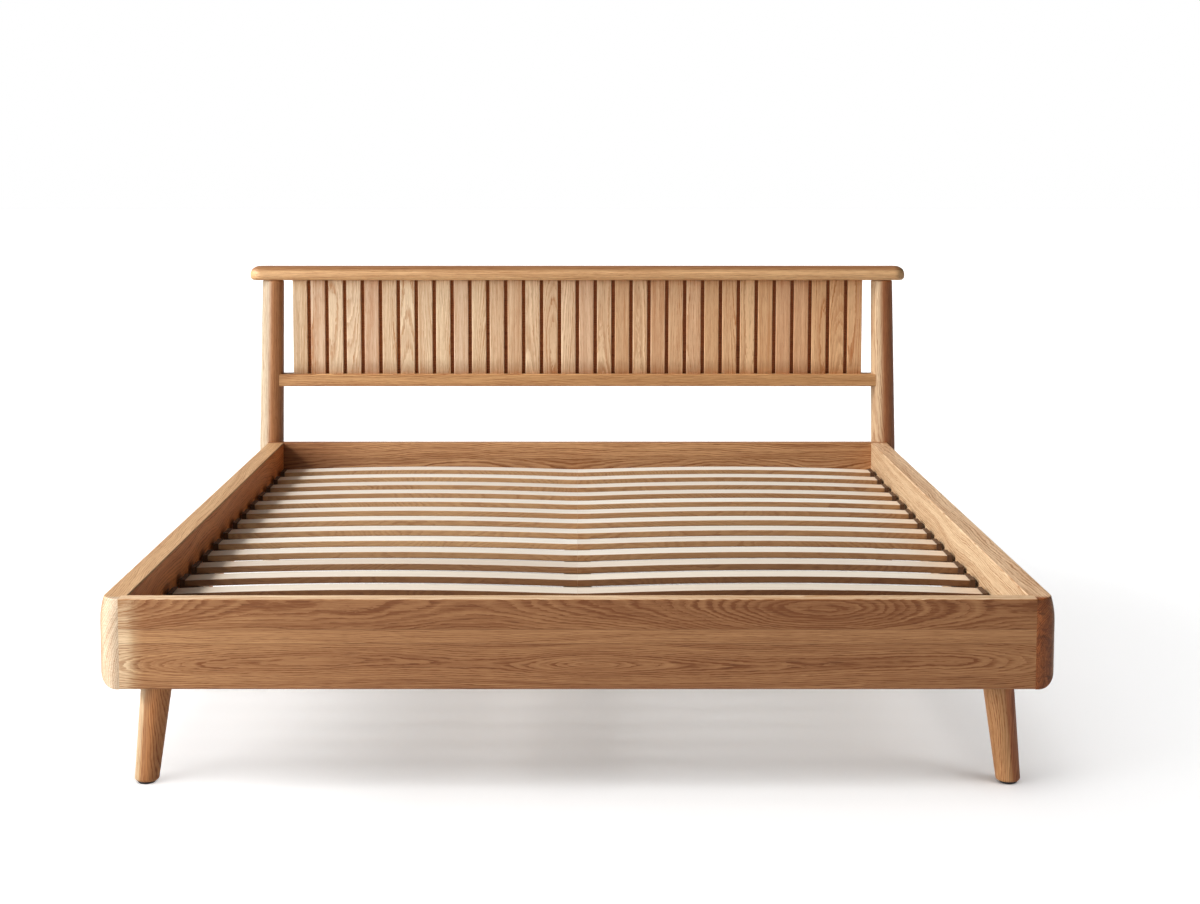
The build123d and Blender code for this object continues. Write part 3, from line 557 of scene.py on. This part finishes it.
def upright_oak(name, tone, right_shade_tone):
    """Oak of the headboard slats: each is cut from another tree, and painted shade darkens them to
    the right.
    """
    finish = Finish(name)
    place = finish.place()
    low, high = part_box("headboard_slats")
    width = sizes().upright_width
    pitch = (high.x - low.x - width) / (sizes().upright_count - 1)
    from_left = finish.math("SUBTRACT", finish.parts(place)["X"], low.x)
    number = finish.math("FLOOR", finish.math("DIVIDE", from_left, pitch))
    pith_x = finish.math("MULTIPLY_ADD", number, pitch, low.x + width / 2)
    base, roughness, relief = timber(
        finish,
        place,
        "Z",
        tone,
        number,
        (pith_x, low.y - UPRIGHT_PITH),
        scatter=(0.16, 0.02),
        lean=0.012,
        rings=0.75,
        flame=0.30,
        waver=0.35,
        contrast=1.5,
        line=(0.76, 0.52, 0.35),
        tint=finish.remap(finish.chance(number)["Value"], 0.0, 1.0, *UPRIGHT_TINT),
    )
    lot = finish.parts(finish.chance(number)["Color"])
    green = finish.remap(lot["X"], 0.0, 1.0, *UPRIGHT_GREEN)
    blue = finish.remap(lot["Y"], 0.0, 1.0, *UPRIGHT_BLUE)
    base = finish.cast(base, finish.joined(1.0, green, blue))
    # painted shade, darker towards the right
    shaded_right = finish.remap(from_left, *(share * (high.x - low.x) for share in SHADE_TO_RIGHT))
    base = finish.mix(shaded_right, base, finish.cast(base, ratio(tone, right_shade_tone)))
    return finish.done(base, roughness, finish.bump(relief, *BUMP))


RIGHT_LOT = 40.0  # board numbers of the right slats start here
SLAT_TINT = (-0.10, 0.10)
FLANK_START, FLANK_FULL = 0.0014, 0.0004  # inside the edge, where its tone starts and is full
# painted shadow of the side rails on the faces' outer ends
END_START, END_FULL, END_COVER = 0.16, 0.02, 0.6  # the same for the faces' outer ends
END_SHADE_CAST = (0.80, 0.62, 0.46)
# painted shade of the foot rail on the rows at the foot end
SHADED_ROWS = (2.0, 6.5)  # from the last dark row to the first pale one, counted from the foot
RIGHTWARD = (-0.2, 0.8)  # of a slat's length, where the cast of the right starts and is full
# edge tones of the shaded rows at the foot end and of the lit rows beyond, painted shade and
# painted light
SHADED_EDGE_CAST, LIT_EDGE_CAST = (0.52, 0.42, 0.31, 1.0), (1.42, 1.60, 1.64, 1.0)
RIGHT_EDGE_CAST = (0.80, 0.74, 0.68)
# face tone of the shaded rows at the foot end, painted shade
SHADED_FACE_CAST = (0.92, 0.86, 0.80, 1.0)
RIGHT_FACE_CAST = (1.06, 1.08, 1.09)
SLAT_ROUGHER, SLAT_BUMP = 0.12, (0.3, 0.0006)


def slat_birch(name, face, edge):
    """Laminated bed slat: pale planed faces, and browner edges, darker partly for the plies and
    partly as painted shade.

    The edges' painted shade is darkest in the rows at the foot end, which the foot rail shades,
    and they darken towards the right. The faces carry painted shadow of the side rails at their
    outer ends and painted shade in those rows at the foot end, and they pale a little towards
    the right.
    """
    finish = Finish(name)
    place = finish.place()
    parts = finish.parts(place)
    first = middle("left_slat_01")
    pitch = middle("left_slat_02").y - first.y
    half_width = span("left_slat_01").y / 2
    from_first = finish.math("SUBTRACT", parts["Y"], first.y)
    row = finish.math("ROUND", finish.math("DIVIDE", from_first, pitch))
    station = finish.math("MULTIPLY_ADD", row, pitch, first.y)
    off_middle = finish.math("ABSOLUTE", finish.math("SUBTRACT", parts["Y"], station))
    on_right = finish.math("GREATER_THAN", parts["X"], 0.0)
    number = finish.math("MULTIPLY_ADD", on_right, RIGHT_LOT, row)
    tint = finish.remap(finish.chance(number)["Value"], 0.0, 1.0, *SLAT_TINT)
    flank_limits = (half_width - FLANK_START, half_width - FLANK_FULL)
    flank = finish.remap(off_middle, *flank_limits, smooth=True)
    lot = {"scatter": (0.1, 0.1), "tint": tint}
    base, roughness, relief = timber(
        finish, place, "X", face, number, (0.3, 0.05), rings=0.9, contrast=0.4, **lot
    )
    edge_base, _, _ = timber(
        finish, place, "X", edge, number, (0.3, 0.0), rings=0.6, contrast=0.8, **lot
    )
    outer = span("left_slat_01").x
    from_centre = finish.math("ABSOLUTE", parts["X"])
    # painted shadow of the side rails near the slats' outer ends
    ends = finish.remap(from_centre, outer - END_START, outer - END_FULL, smooth=True)
    covered = finish.math("MULTIPLY", ends, END_COVER)
    base = finish.mix(covered, base, finish.cast(base, END_SHADE_CAST))
    # painted shade of the foot rail, fading out row by row
    out_of_shade = finish.remap(row, *SHADED_ROWS, smooth=True)
    rightward = finish.remap(parts["X"], *(share * outer for share in RIGHTWARD))
    edge_base = finish.cast(edge_base, finish.mix(out_of_shade, SHADED_EDGE_CAST, LIT_EDGE_CAST))
    edge_base = finish.mix(rightward, edge_base, finish.cast(edge_base, RIGHT_EDGE_CAST))
    base = finish.cast(base, finish.mix(out_of_shade, SHADED_FACE_CAST, WHITE))
    base = finish.mix(rightward, base, finish.cast(base, RIGHT_FACE_CAST))
    # the edges' tone, darker partly for the plies and partly as painted shade
    base = finish.mix(flank, base, edge_base)
    roughness = finish.math("ADD", roughness, SLAT_ROUGHER)
    return finish.done(base, roughness, finish.bump(relief, *SLAT_BUMP))


def even(density):
    """The same density along all three axes."""
    return (density, density, density)


SKIN, SKIN_BUMP = even(1400.0), (0.25, 0.0003)
RUBBED, DUSTY_SHARE, DUST = even(60.0), 0.94, 0.016


def moulded_plastic(name, tone):
    """Moulded nylon with a fine spark-eroded skin and rubbed high spots."""
    finish = Finish(name)
    place = finish.place()
    skin = finish.noise(place, SKIN, 2.0)["Fac"]
    rubbed = finish.noise(place, RUBBED, 3.0)["Fac"]
    dusty = [channel * DUSTY_SHARE + DUST for channel in tone] + [1.0]
    base = finish.mix(finish.remap(rubbed, 0.45, 0.75), shade(tone, 1.0), dusty)
    rough = finish.remap(rubbed, 0.3, 0.7, 0.42, 0.6)
    return finish.done(base, rough, finish.bump(skin, *SKIN_BUMP))


CLOUD, CLOUD_SHADES = even(35.0), (0.78, 1.12)
ROLLED, ROLLED_ROUGHER, ROLLED_BUMP = (12.0, 420.0, 420.0), 0.12, (0.12, 0.0002)


def zinc_steel(name, tone):
    """Zinc-plated steel: a spangled, slightly cloudy bright finish with rolling marks."""
    finish = Finish(name)
    place = finish.place()
    cloud = finish.noise(place, CLOUD, 4.0)["Fac"]
    rolled = finish.noise(place, ROLLED, 2.0)["Fac"]
    base = finish.mix(cloud, *(shade(tone, factor) for factor in CLOUD_SHADES))
    rough = finish.remap(cloud, 0.3, 0.7, 0.24, 0.38)
    rough = finish.math("MULTIPLY_ADD", rolled, ROLLED_ROUGHER, rough)
    return finish.done(base, rough, finish.bump(rolled, *ROLLED_BUMP), metal=1.0)


def dress(material, *nodes):
    """Gives CAD nodes a material."""
    for node in nodes:
        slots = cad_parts[node].data.materials
        slots.clear()
        slots.append(material)


# ---------------------------------------------------------------- shapes


def eased_loop(width, height, radius, steps=5):
    """Outline of a rectangle with rounded corners, as points round its middle.

    Each corner is a quarter circle of the radius, centred that far inside both sides. One more
    point before and after it, half a radius along the sides, keeps the shading of the sides flat.
    """
    turn = np.linspace(0, math.pi / 2, steps)
    arc = np.stack([np.cos(turn), np.sin(turn)], axis=1)
    corner = radius * np.concatenate([[(1.0, -0.5)], arc, [(-0.5, 1.0)]])
    quarters = np.arange(4) * math.pi / 2
    turned = np.stack(
        [
            np.cos(quarters)[:, None] * corner[:, 0] - np.sin(quarters)[:, None] * corner[:, 1],
            np.sin(quarters)[:, None] * corner[:, 0] + np.cos(quarters)[:, None] * corner[:, 1],
        ],
        axis=-1,
    )
    corners = np.array([(1, 1), (-1, 1), (-1, -1), (1, -1)])
    centres = corners * (np.array([width, height]) / 2 - radius)
    return (centres[:, None] + turned).reshape(-1, 2)


def eased_stations(start, finish, radius, inner, steps=4):
    """Stations along a bar and the inset of its outline at each, for rounded ends.

    Near an end at distance d the outline is drawn in by r - sqrt(r^2 - (r - d)^2).
    """
    near = radius * (1 - np.cos(np.linspace(0, math.pi / 2, steps)))
    inset = radius - np.sqrt(np.maximum(radius**2 - (radius - near) ** 2, 0))
    body = np.linspace(start + radius, finish - radius, inner)[1:-1]
    stations = np.concatenate([start + near, body, finish - near[::-1]])
    return stations, np.concatenate([inset, np.zeros(inner - 2), inset[::-1]])


def tube_mesh(name, rings):
    """Closed mesh of quads between rings of points, with a flat face on each end.

    rings is an array of tubes x stations x points x 3, each ring turning left as seen from
    the far end of its tube.
    """
    tubes, stations, points, _ = rings.shape
    index = np.arange(tubes * stations * points).reshape(tubes, stations, points)
    here, ahead = index[:, :-1], index[:, 1:]
    quads = np.stack([here, np.roll(here, -1, 2), np.roll(ahead, -1, 2), ahead], axis=-1)
    quads = quads.reshape(-1, 4)
    caps = np.concatenate([index[:, 0, ::-1], index[:, -1]])
    mesh = bpy.data.meshes.new(name)
    mesh.from_pydata(rings.reshape(-1, 3), [], quads.tolist() + caps.tolist())
    mesh.polygons.foreach_set("use_smooth", np.ones(len(mesh.polygons), bool))
    mesh.update()
    return mesh


def put(name, mesh, material, body, slot, *nodes):
    """Adds a finished piece that rides on a body and stands for CAD nodes."""
    mesh.materials.append(material)
    piece = bpy.data.objects.new(name, mesh)
    bpy.context.scene.collection.objects.link(piece)
    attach(piece, body)
    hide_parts(*nodes)
    return piece


SLAT_STATIONS = 34  # between a bed slat's rounded ends
UPRIGHT_STATIONS = 7
VALLEY_GAP = 0.2  # share of the gap between the two slats of a row that stays open


def bowed_slat(node):
    """Rings of a bed slat: an eased rectangle carried along a shallow arc.

    With the arc's chord c and rise b, its radius is R = (c^2 / 4 + b^2) / 2b, and it stands
    sqrt(R^2 - x^2) - (R - b) above the chord at x from the middle. Towards the bed's middle the
    height h grows to sqrt(h^2 + s^2), so the two slats of a row meet in a soft valley. There the
    end is drawn nearer to the middle, and only the outer end is rounded.
    """
    low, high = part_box(node)
    thickness, easing = sizes().slat_thickness, sizes().slat_easing
    bow = high.z - low.z - thickness
    chord = high.x - low.x
    radius = (chord**2 / 4 + bow**2) / (2 * bow)
    stations, inset = eased_stations(low.x, high.x, easing, SLAT_STATIONS)
    rise = np.sqrt(radius**2 - (stations - (low.x + high.x) / 2) ** 2) - (radius - bow)
    from_middle = np.abs(stations) / np.abs(stations).max()
    rise = np.sqrt(rise**2 + (sizes().slat_valley * (1 - from_middle)) ** 2)
    inset = np.where(from_middle > 0.5, inset, 0.0)
    stations[from_middle.argmin()] *= VALLEY_GAP
    loop = eased_loop(high.y - low.y, thickness, easing)
    draw_in = 1 - inset[:, None, None] / (np.array([high.y - low.y, thickness]) / 2)
    outline = loop[None] * draw_in
    rings = np.empty((1, len(stations), len(loop), 3))
    rings[0, :, :, 0] = stations[:, None]
    rings[0, :, :, 1] = (low.y + high.y) / 2 + outline[:, :, 0]
    rings[0, :, :, 2] = (low.z + thickness / 2 + rise)[:, None] + outline[:, :, 1]
    return rings


def uprights():
    """Rings of the headboard slats: an eased rectangle carried straight up, repeated along X."""
    low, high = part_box("headboard_slats")
    width, easing, count = sizes().upright_width, sizes().upright_easing, sizes().upright_count
    centres = np.linspace(low.x + width / 2, high.x - width / 2, count)
    stations = np.linspace(low.z, high.z, UPRIGHT_STATIONS)
    loop = eased_loop(width, high.y - low.y, easing)
    rings = np.empty((count, len(stations), len(loop), 3))
    rings[..., 0] = centres[:, None, None] + loop[None, None, :, 0]
    rings[..., 1] = (low.y + high.y) / 2 + loop[None, None, :, 1]
    rings[..., 2] = stations[None, :, None]
    return rings


# ---------------------------------------------------------------- operators


class BED_OT_rails(Operator):
    """Oak on the foot and head rails, glued up from staves, and on the side rails"""

    bl_idname = "bed.rails"
    bl_label = "Rails"

    def execute(self, context):
        tones = finishes()
        low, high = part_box("foot_rail")
        foot, head = middle("foot_rail"), middle("head_rail")
        dress(
            oak(
                "foot_rail_oak",
                "X",
                tones.foot_oak,
                seed=3.0,
                pith=(high.z - 0.135, foot.y + 0.05),
                staves=(
                    (high.z - 0.091, high.z + 0.30, foot.y, 0.24),
                    (high.z - 0.062, high.z - 0.020, foot.y + 0.05, -0.13),
                ),
                edges=(
                    # painted light, fading over the left quarter
                    ("X", low.x, -0.55, tones.foot_left_light),
                    # painted light on the left end
                    ("X", low.x, -0.054, tones.foot_end_light),
                    # painted highlight beside the left joint
                    ("X", low.x, -0.034, tones.foot_corner_glare),
                    # painted sheen along the upper edge
                    ("Z", high.z, 0.0014, tones.foot_top_sheen),
                ),
                contrast=1.85,
                rings=0.85,
                waver=0.7,
            ),
            "foot_rail",
        )
        dress(
            oak(
                "head_rail_oak",
                "X",
                tones.head_oak,
                seed=11.0,
                pith=(high.z - 0.110, head.y + 0.05),
                staves=((high.z - 0.050, high.z + 0.25, head.y, 0.08),),
                # the left end gets painted shadow of the left side rail
                edges=(("X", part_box("head_rail")[0].x, -0.42, tones.head_end_shadow),),
                contrast=2.5,
                rings=1.3,
            ),
            "head_rail",
        )
        for side, inside, top_lighting, top_lighting_reach, butt_lighting, depth, contrast, whorl in zip(
            SIDES,
            (tones.left_inner_shade, tones.right_inner_light),
            (tones.left_top_lit, tones.right_top_lit),
            (0.0045, 0.0012),
            (tones.left_butt_light, tones.right_butt_shade),
            (0.012, -0.012),
            (1.25, 1.7),
            (0.10, 0.42),
        ):
            rail = middle(f"{side}_side_rail")
            inner_face = rail.x + math.copysign(span(f"{side}_side_rail").x / 2, depth)
            dress(
                oak(
                    f"{side}_rail_oak",
                    "Y",
                    tones.side_oak,
                    seed=20.0,
                    pith=(rail.z - 0.05, rail.x * 0.93),
                    flame=0.6,
                    edges=(
                        # painted shade on the left rail's inner face, painted light on the right
                        # rail's
                        ("X", inner_face, depth, inside),
                        # painted light along the rail's upper edge
                        ("Z", high.z, top_lighting_reach, top_lighting),
                        # painted light and shade on the end grain at the foot end
                        ("Y", low.y, -0.030, butt_lighting),
                    ),
                    whorl=whorl,
                    contrast=contrast,
                ),
                f"{side}_side_rail",
            )
        return {"FINISHED"}


class BED_OT_headboard_rails(Operator):
    """Oak on the headboard's top and lower rails and on the panel behind its slats"""

    bl_idname = "bed.headboard_rails"
    bl_label = "Headboard rails"

    def execute(self, context):
        tones = finishes()
        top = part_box("headboard_top_rail")[1].z
        dress(
            oak(
                "top_rail_oak",
                "X",
                tones.cap_oak,
                pith=(0.80, 1.03),
                flame=0.5,
                contrast=1.6,
                edges=(("Z", top, 0.020, tones.shaded_cap),),
            ),
            "headboard_top_rail",
        )
        dress(
            oak(
                "lower_rail_oak",
                "X",
                tones.sill_oak,
                pith=(0.52, 1.08),
                flame=0.5,
                contrast=1.7,
            ),
            "headboard_lower_rail",
        )
        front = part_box("headboard_back_panel")[0].y
        dress(
            oak(
                "back_panel_oak",
                "X",
                tones.panel_oak,
                pith=(0.7, 1.15),
                # painted shade on the panel's front, in the gaps between the slats
                edges=(("Y", front, -0.003, tones.gap_shade),),
            ),
            "headboard_back_panel",
        )
        return {"FINISHED"}


class BED_OT_uprights(Operator):
    """The flat upright slats of the headboard, with eased edges"""

    bl_idname = "bed.uprights"
    bl_label = "Headboard slats"

    def execute(self, context):
        material = upright_oak("upright_oak", finishes().upright_oak, finishes().right_upright_shade)
        name = "headboard_uprights"
        put(name, tube_mesh(name, uprights()), material, "frame", "oak", "headboard_slats")
        return {"FINISHED"}


class BED_OT_legs(Operator):
    """Oak on the turned posts and the splayed front legs"""

    bl_idname = "bed.legs"
    bl_label = "Posts and front legs"

    def execute(self, context):
        tones = finishes()
        # masks by how far the surface faces left: painted highlight on the posts' left sides and
        # painted shade on the left leg's left half
        post_highlight, leg_shade_half = ("left", 0.70, 0.85), ("left", 0.70, 0.90)
        left_leg_highlight, right_leg_lit_side = ("left", 0.706, 0.286), ("left", 0.08, 0.43)
        post_pith, leg_pith = Vector((0.05, 0.055)), Vector((-0.04, 0.055))
        left_leg_lighting = (
            # painted shade on the left leg's left-facing half
            (*leg_shade_half, tones.left_leg_shade),
            # painted highlight on the left leg's outermost left edge
            (*left_leg_highlight, tones.left_leg_highlight),
        )
        # painted light on the right leg's front and left, over painted shade on its right side
        right_leg_lighting = ((*right_leg_lit_side, tones.right_leg_lit_side),)
        for node, tone, edges, pith in (
            # painted light on the left post, painted shade on the right post
            ("left_post", tones.left_post_lit, ((*post_highlight, tones.left_post_highlight),), post_pith),
            ("right_post", tones.right_post_shaded, ((*post_highlight, tones.right_post_highlight),), post_pith),
            ("left_front_leg", tones.left_leg_oak, left_leg_lighting, leg_pith),
            ("right_front_leg", tones.right_leg_shade, right_leg_lighting, leg_pith),
        ):
            dress(
                oak(
                    f"{node}_oak",
                    "Z",
                    tone,
                    pith=middle(node).xy + pith,
                    edges=edges,
                    rings=0.9,
                    flame=0.5,
                    contrast=1.4,
                ),
                node,
            )
        return {"FINISHED"}


class BED_OT_slats(Operator):
    """The bowed slats, a left and a right one in each row"""

    bl_idname = "bed.slats"
    bl_label = "Bed slats"

    def execute(self, context):
        material = slat_birch("slat_birch", finishes().slat_cream, finishes().slat_edge)
        for side in SIDES:
            for row in range(1, SLAT_ROWS + 1):
                node = f"{side}_slat_{row:02d}"
                mesh = tube_mesh(f"bowed_{node}", bowed_slat(node))
                put(f"bowed_{node}", mesh, material, "frame", "slat_birch", node)
        return {"FINISHED"}


class BED_OT_understructure(Operator):
    """Beech on the centre beam, ledgers and centre legs"""

    bl_idname = "bed.understructure"
    bl_label = "Beam, ledgers and centre legs"

    def execute(self, context):
        tone = finishes().beech
        dress(
            oak("beech_beam", "Y", tone, pith=(0.24, 0.12), rings=0.5, contrast=0.5),
            "centre_beam",
            "left_ledger",
            "right_ledger",
        )
        dress(
            oak("beech_leg", "Z", tone, pith=(0.05, 0.3), rings=0.5, contrast=0.5),
            "front_support_leg",
            "rear_support_leg",
        )
        return {"FINISHED"}


class BED_OT_fittings(Operator):
    """Black plastic and zinc-plated steel on the small parts"""

    bl_idname = "bed.fittings"
    bl_label = "Fittings"

    def execute(self, context):
        dress(
            moulded_plastic("black_plastic", finishes().plastic),
            "floor_glides",
            "front_levelling_foot",
            "rear_levelling_foot",
        )
        dress(moulded_plastic("holder_plastic", finishes().holder_plastic), "slat_holders")
        dress(moulded_plastic("pale_plastic", finishes().nylon), "centre_slat_pads")
        dress(
            zinc_steel("zinc_steel", finishes().zinc),
            "left_corner_bracket",
            "right_corner_bracket",
            "foot_beam_hanger",
            "head_beam_hanger",
            "bed_bolts",
            "barrel_nuts",
            "lag_screws",
            "leg_hanger_bolts",
        )
        return {"FINISHED"}


FLOOR_REACH = 40.0
FLOOR_CLOUD, FLOOR_SHADES = even(0.7), (0.985, 1.015)
FLOOR_BOUNCE = 0.6  # of the floor's tone in the light that it throws back at the bed
FAR_GLOW = (1.1, 4.0, 0.0, 0.40)  # from and to which distance, and how strong there
# painted light to the eye on the floor's left, where light reaches under the bed
LEFT_PAINTED_LIGHT = (-0.30, -0.95, 0.0, 0.34)  # the same along X
SKY_TURN = (-1.0, 0.35)  # directions along X between which the surroundings darken
PANEL_SIZE = (2.4, 1.8)
LEFT_CORNER, LEFT_TARGET = (-3.6, -2.8, 1.4), (-0.6, -0.4, 0.3)


class BED_OT_stage(Operator):
    """White floor, soft light from the left and a camera at the foot end"""

    bl_idname = "bed.stage"
    bl_label = "Studio"

    def execute(self, context):
        scene = context.scene
        setup = studio()
        self.lay_floor(scene, setup)
        self.light_sky(scene, setup)
        self.place_lights(scene, setup)
        camera = bpy.data.objects.new("camera", bpy.data.cameras.new("camera"))
        camera.data.lens = setup.lens
        camera.data.shift_x, camera.data.shift_y = setup.shift_x, setup.shift_y
        camera.location = (0.0, -setup.eye_distance, setup.eye_height)
        camera.rotation_euler = Euler((math.pi / 2 - setup.pitch, 0.0, 0.0))
        scene.collection.objects.link(camera)
        scene.camera = camera
        scene.view_settings.view_transform = "Standard"
        return {"FINISHED"}

    def lay_floor(self, scene, setup):
        """White, with a glow to the eye away from the bed, so it runs into the surroundings, and
        painted light to the eye on the left, where light reaches under the bed.
        """
        finish = Finish("studio_floor")
        place = finish.place()
        cloud = finish.noise(place, FLOOR_CLOUD, 2.0)["Fac"]
        base = finish.mix(cloud, *(shade(setup.floor, factor) for factor in FLOOR_SHADES))
        seen = finish.add("ShaderNodeLightPath").outputs["Is Camera Ray"]
        base = finish.mix(seen, shade(setup.floor, FLOOR_BOUNCE), base)
        rough = finish.remap(cloud, 0.3, 0.7, 0.62, 0.7)
        finish.done(base, rough, finish.bump(cloud, 0.02, 0.001))
        finish.shader.inputs["Emission Color"].default_value = WHITE
        away = finish.remap(finish.vector("LENGTH", place), *FAR_GLOW, smooth=True)
        # painted light on the left, where light reaches under the bed
        painted_left_light = finish.remap(finish.parts(place)["X"], *LEFT_PAINTED_LIGHT, smooth=True)
        glow = finish.math("MAXIMUM", away, painted_left_light)
        finish.plug(finish.math("MULTIPLY", seen, glow), finish.shader.inputs["Emission Strength"])
        mesh = bpy.data.meshes.new("floor")
        corners = ((-1, -1), (1, -1), (1, 1), (-1, 1))
        mesh.from_pydata(
            [(x * FLOOR_REACH, y * FLOOR_REACH, 0) for x, y in corners], [], [(0, 1, 2, 3)]
        )
        mesh.materials.append(finish.material)
        floor = bpy.data.objects.new("floor", mesh)
        scene.collection.objects.link(floor)

    def light_sky(self, scene, setup):
        """White to the eye, and as light brighter on the left than on the right."""
        world = bpy.data.worlds.new("studio")
        world.use_nodes = True
        scene.world = world
        tree = world.node_tree
        background = tree.nodes["Background"]
        background.inputs["Color"].default_value = WHITE
        direction = tree.nodes.new("ShaderNodeTexCoord")
        parts = tree.nodes.new("ShaderNodeSeparateXYZ")
        across = tree.nodes.new("ShaderNodeMapRange")
        seen = tree.nodes.new("ShaderNodeLightPath")
        choice = tree.nodes.new("ShaderNodeMix")
        tree.links.new(direction.outputs["Generated"], parts.inputs[0])
        tree.links.new(parts.outputs["X"], across.inputs["Value"])
        limits = (*SKY_TURN, setup.sky_left, setup.sky_right)
        for name, limit in zip(("From Min", "From Max", "To Min", "To Max"), limits):
            across.inputs[name].default_value = limit
        tree.links.new(seen.outputs["Is Camera Ray"], choice.inputs[0])
        tree.links.new(across.outputs[0], choice.inputs[2])
        choice.inputs[3].default_value = 1.0
        tree.links.new(choice.outputs[0], background.inputs["Strength"])

    def place_lights(self, scene, setup):
        """A low window and two panels on the left for the bed, four soft lights for the floor."""
        receivers = {}
        for link in ("INCLUDE", "EXCLUDE"):
            receivers[link] = bpy.data.collections.new(f"floor_{link.lower()}d")
            receivers[link].objects.link(bpy.data.objects["floor"])
            receivers[link].collection_objects[0].light_linking.link_state = link
        for name, link, power, size, place in (
            ("window", "EXCLUDE", setup.key, 10.0, (-2.0, -0.40, 1.60)),
            ("floor_front", "INCLUDE", setup.floor_front, 36.0, (-1.3, -1.2, 3.0)),
            ("floor_top", "INCLUDE", setup.floor_top, 50.0, (0.15, -0.5, 3.0)),
            ("floor_right", "INCLUDE", setup.floor_right, 40.0, (1.6, -0.9, 1.2)),
        ):
            sun = bpy.data.lights.new(name, "SUN")
            sun.energy, sun.angle = power, math.radians(size)
            lamp = self.aim(scene, sun, Vector(place), Vector((0.0, 0.0, 0.0)))
            lamp.light_linking.receiver_collection = receivers[link]
        for name, link, power, place, target in (
            ("side_panel", "EXCLUDE", setup.side, LEFT_CORNER, LEFT_TARGET),
            ("head_panel", "EXCLUDE", setup.fill, (-3.2, -0.4, 1.6), (-0.3, 0.7, 0.5)),
            ("floor_panel", "INCLUDE", setup.floor_side, LEFT_CORNER, LEFT_TARGET),
        ):
            panel = bpy.data.lights.new(name, "AREA")
            panel.energy, panel.shape = power, "RECTANGLE"
            panel.size, panel.size_y = PANEL_SIZE
            lamp = self.aim(scene, panel, Vector(place), Vector(target))
            lamp.light_linking.receiver_collection = receivers[link]

    def aim(self, scene, light, place, target):
        lamp = bpy.data.objects.new(light.name, light)
        lamp.location = place
        lamp.rotation_euler = (target - place).to_track_quat("-Z", "Y").to_euler()
        lamp.visible_camera = False
        scene.collection.objects.link(lamp)
        return lamp


class BED_PT_panel(Panel):
    """Lists the pieces, finishes and studio of the bed"""

    bl_idname = "BED_PT_panel"
    bl_label = "Oak Bed Frame"
    bl_space_type = "VIEW_3D"
    bl_region_type = "UI"
    bl_category = "Bed"

    def draw(self, context):
        for group in (sizes(), finishes(), studio()):
            box = self.layout.box()
            for name in group.__annotations__:
                box.prop(group, name)
        for operator in OPERATORS:
            self.layout.operator(operator.bl_idname)


OPERATORS = (
    BED_OT_rails,
    BED_OT_headboard_rails,
    BED_OT_uprights,
    BED_OT_legs,
    BED_OT_slats,
    BED_OT_understructure,
    BED_OT_fittings,
    BED_OT_stage,
)
GROUPS = (BedSizes, BedFinishes, BedStudio)


def register():
    for item in GROUPS + OPERATORS + (BED_PT_panel,):
        bpy.utils.register_class(item)
    bpy.types.Scene.bed_sizes = PointerProperty(type=BedSizes)
    bpy.types.Scene.bed_finishes = PointerProperty(type=BedFinishes)
    bpy.types.Scene.bed_studio = PointerProperty(type=BedStudio)


def unregister():
    del bpy.types.Scene.bed_sizes, bpy.types.Scene.bed_finishes, bpy.types.Scene.bed_studio
    for item in reversed(GROUPS + OPERATORS + (BED_PT_panel,)):
        bpy.utils.unregister_class(item)


def main():
    register()
    bpy.ops.bed.rails()
    bpy.ops.bed.headboard_rails()
    bpy.ops.bed.uprights()
    bpy.ops.bed.legs()
    bpy.ops.bed.slats()
    bpy.ops.bed.understructure()
    bpy.ops.bed.fittings()
    bpy.ops.bed.stage()


if __name__ == "__main__":
    main()
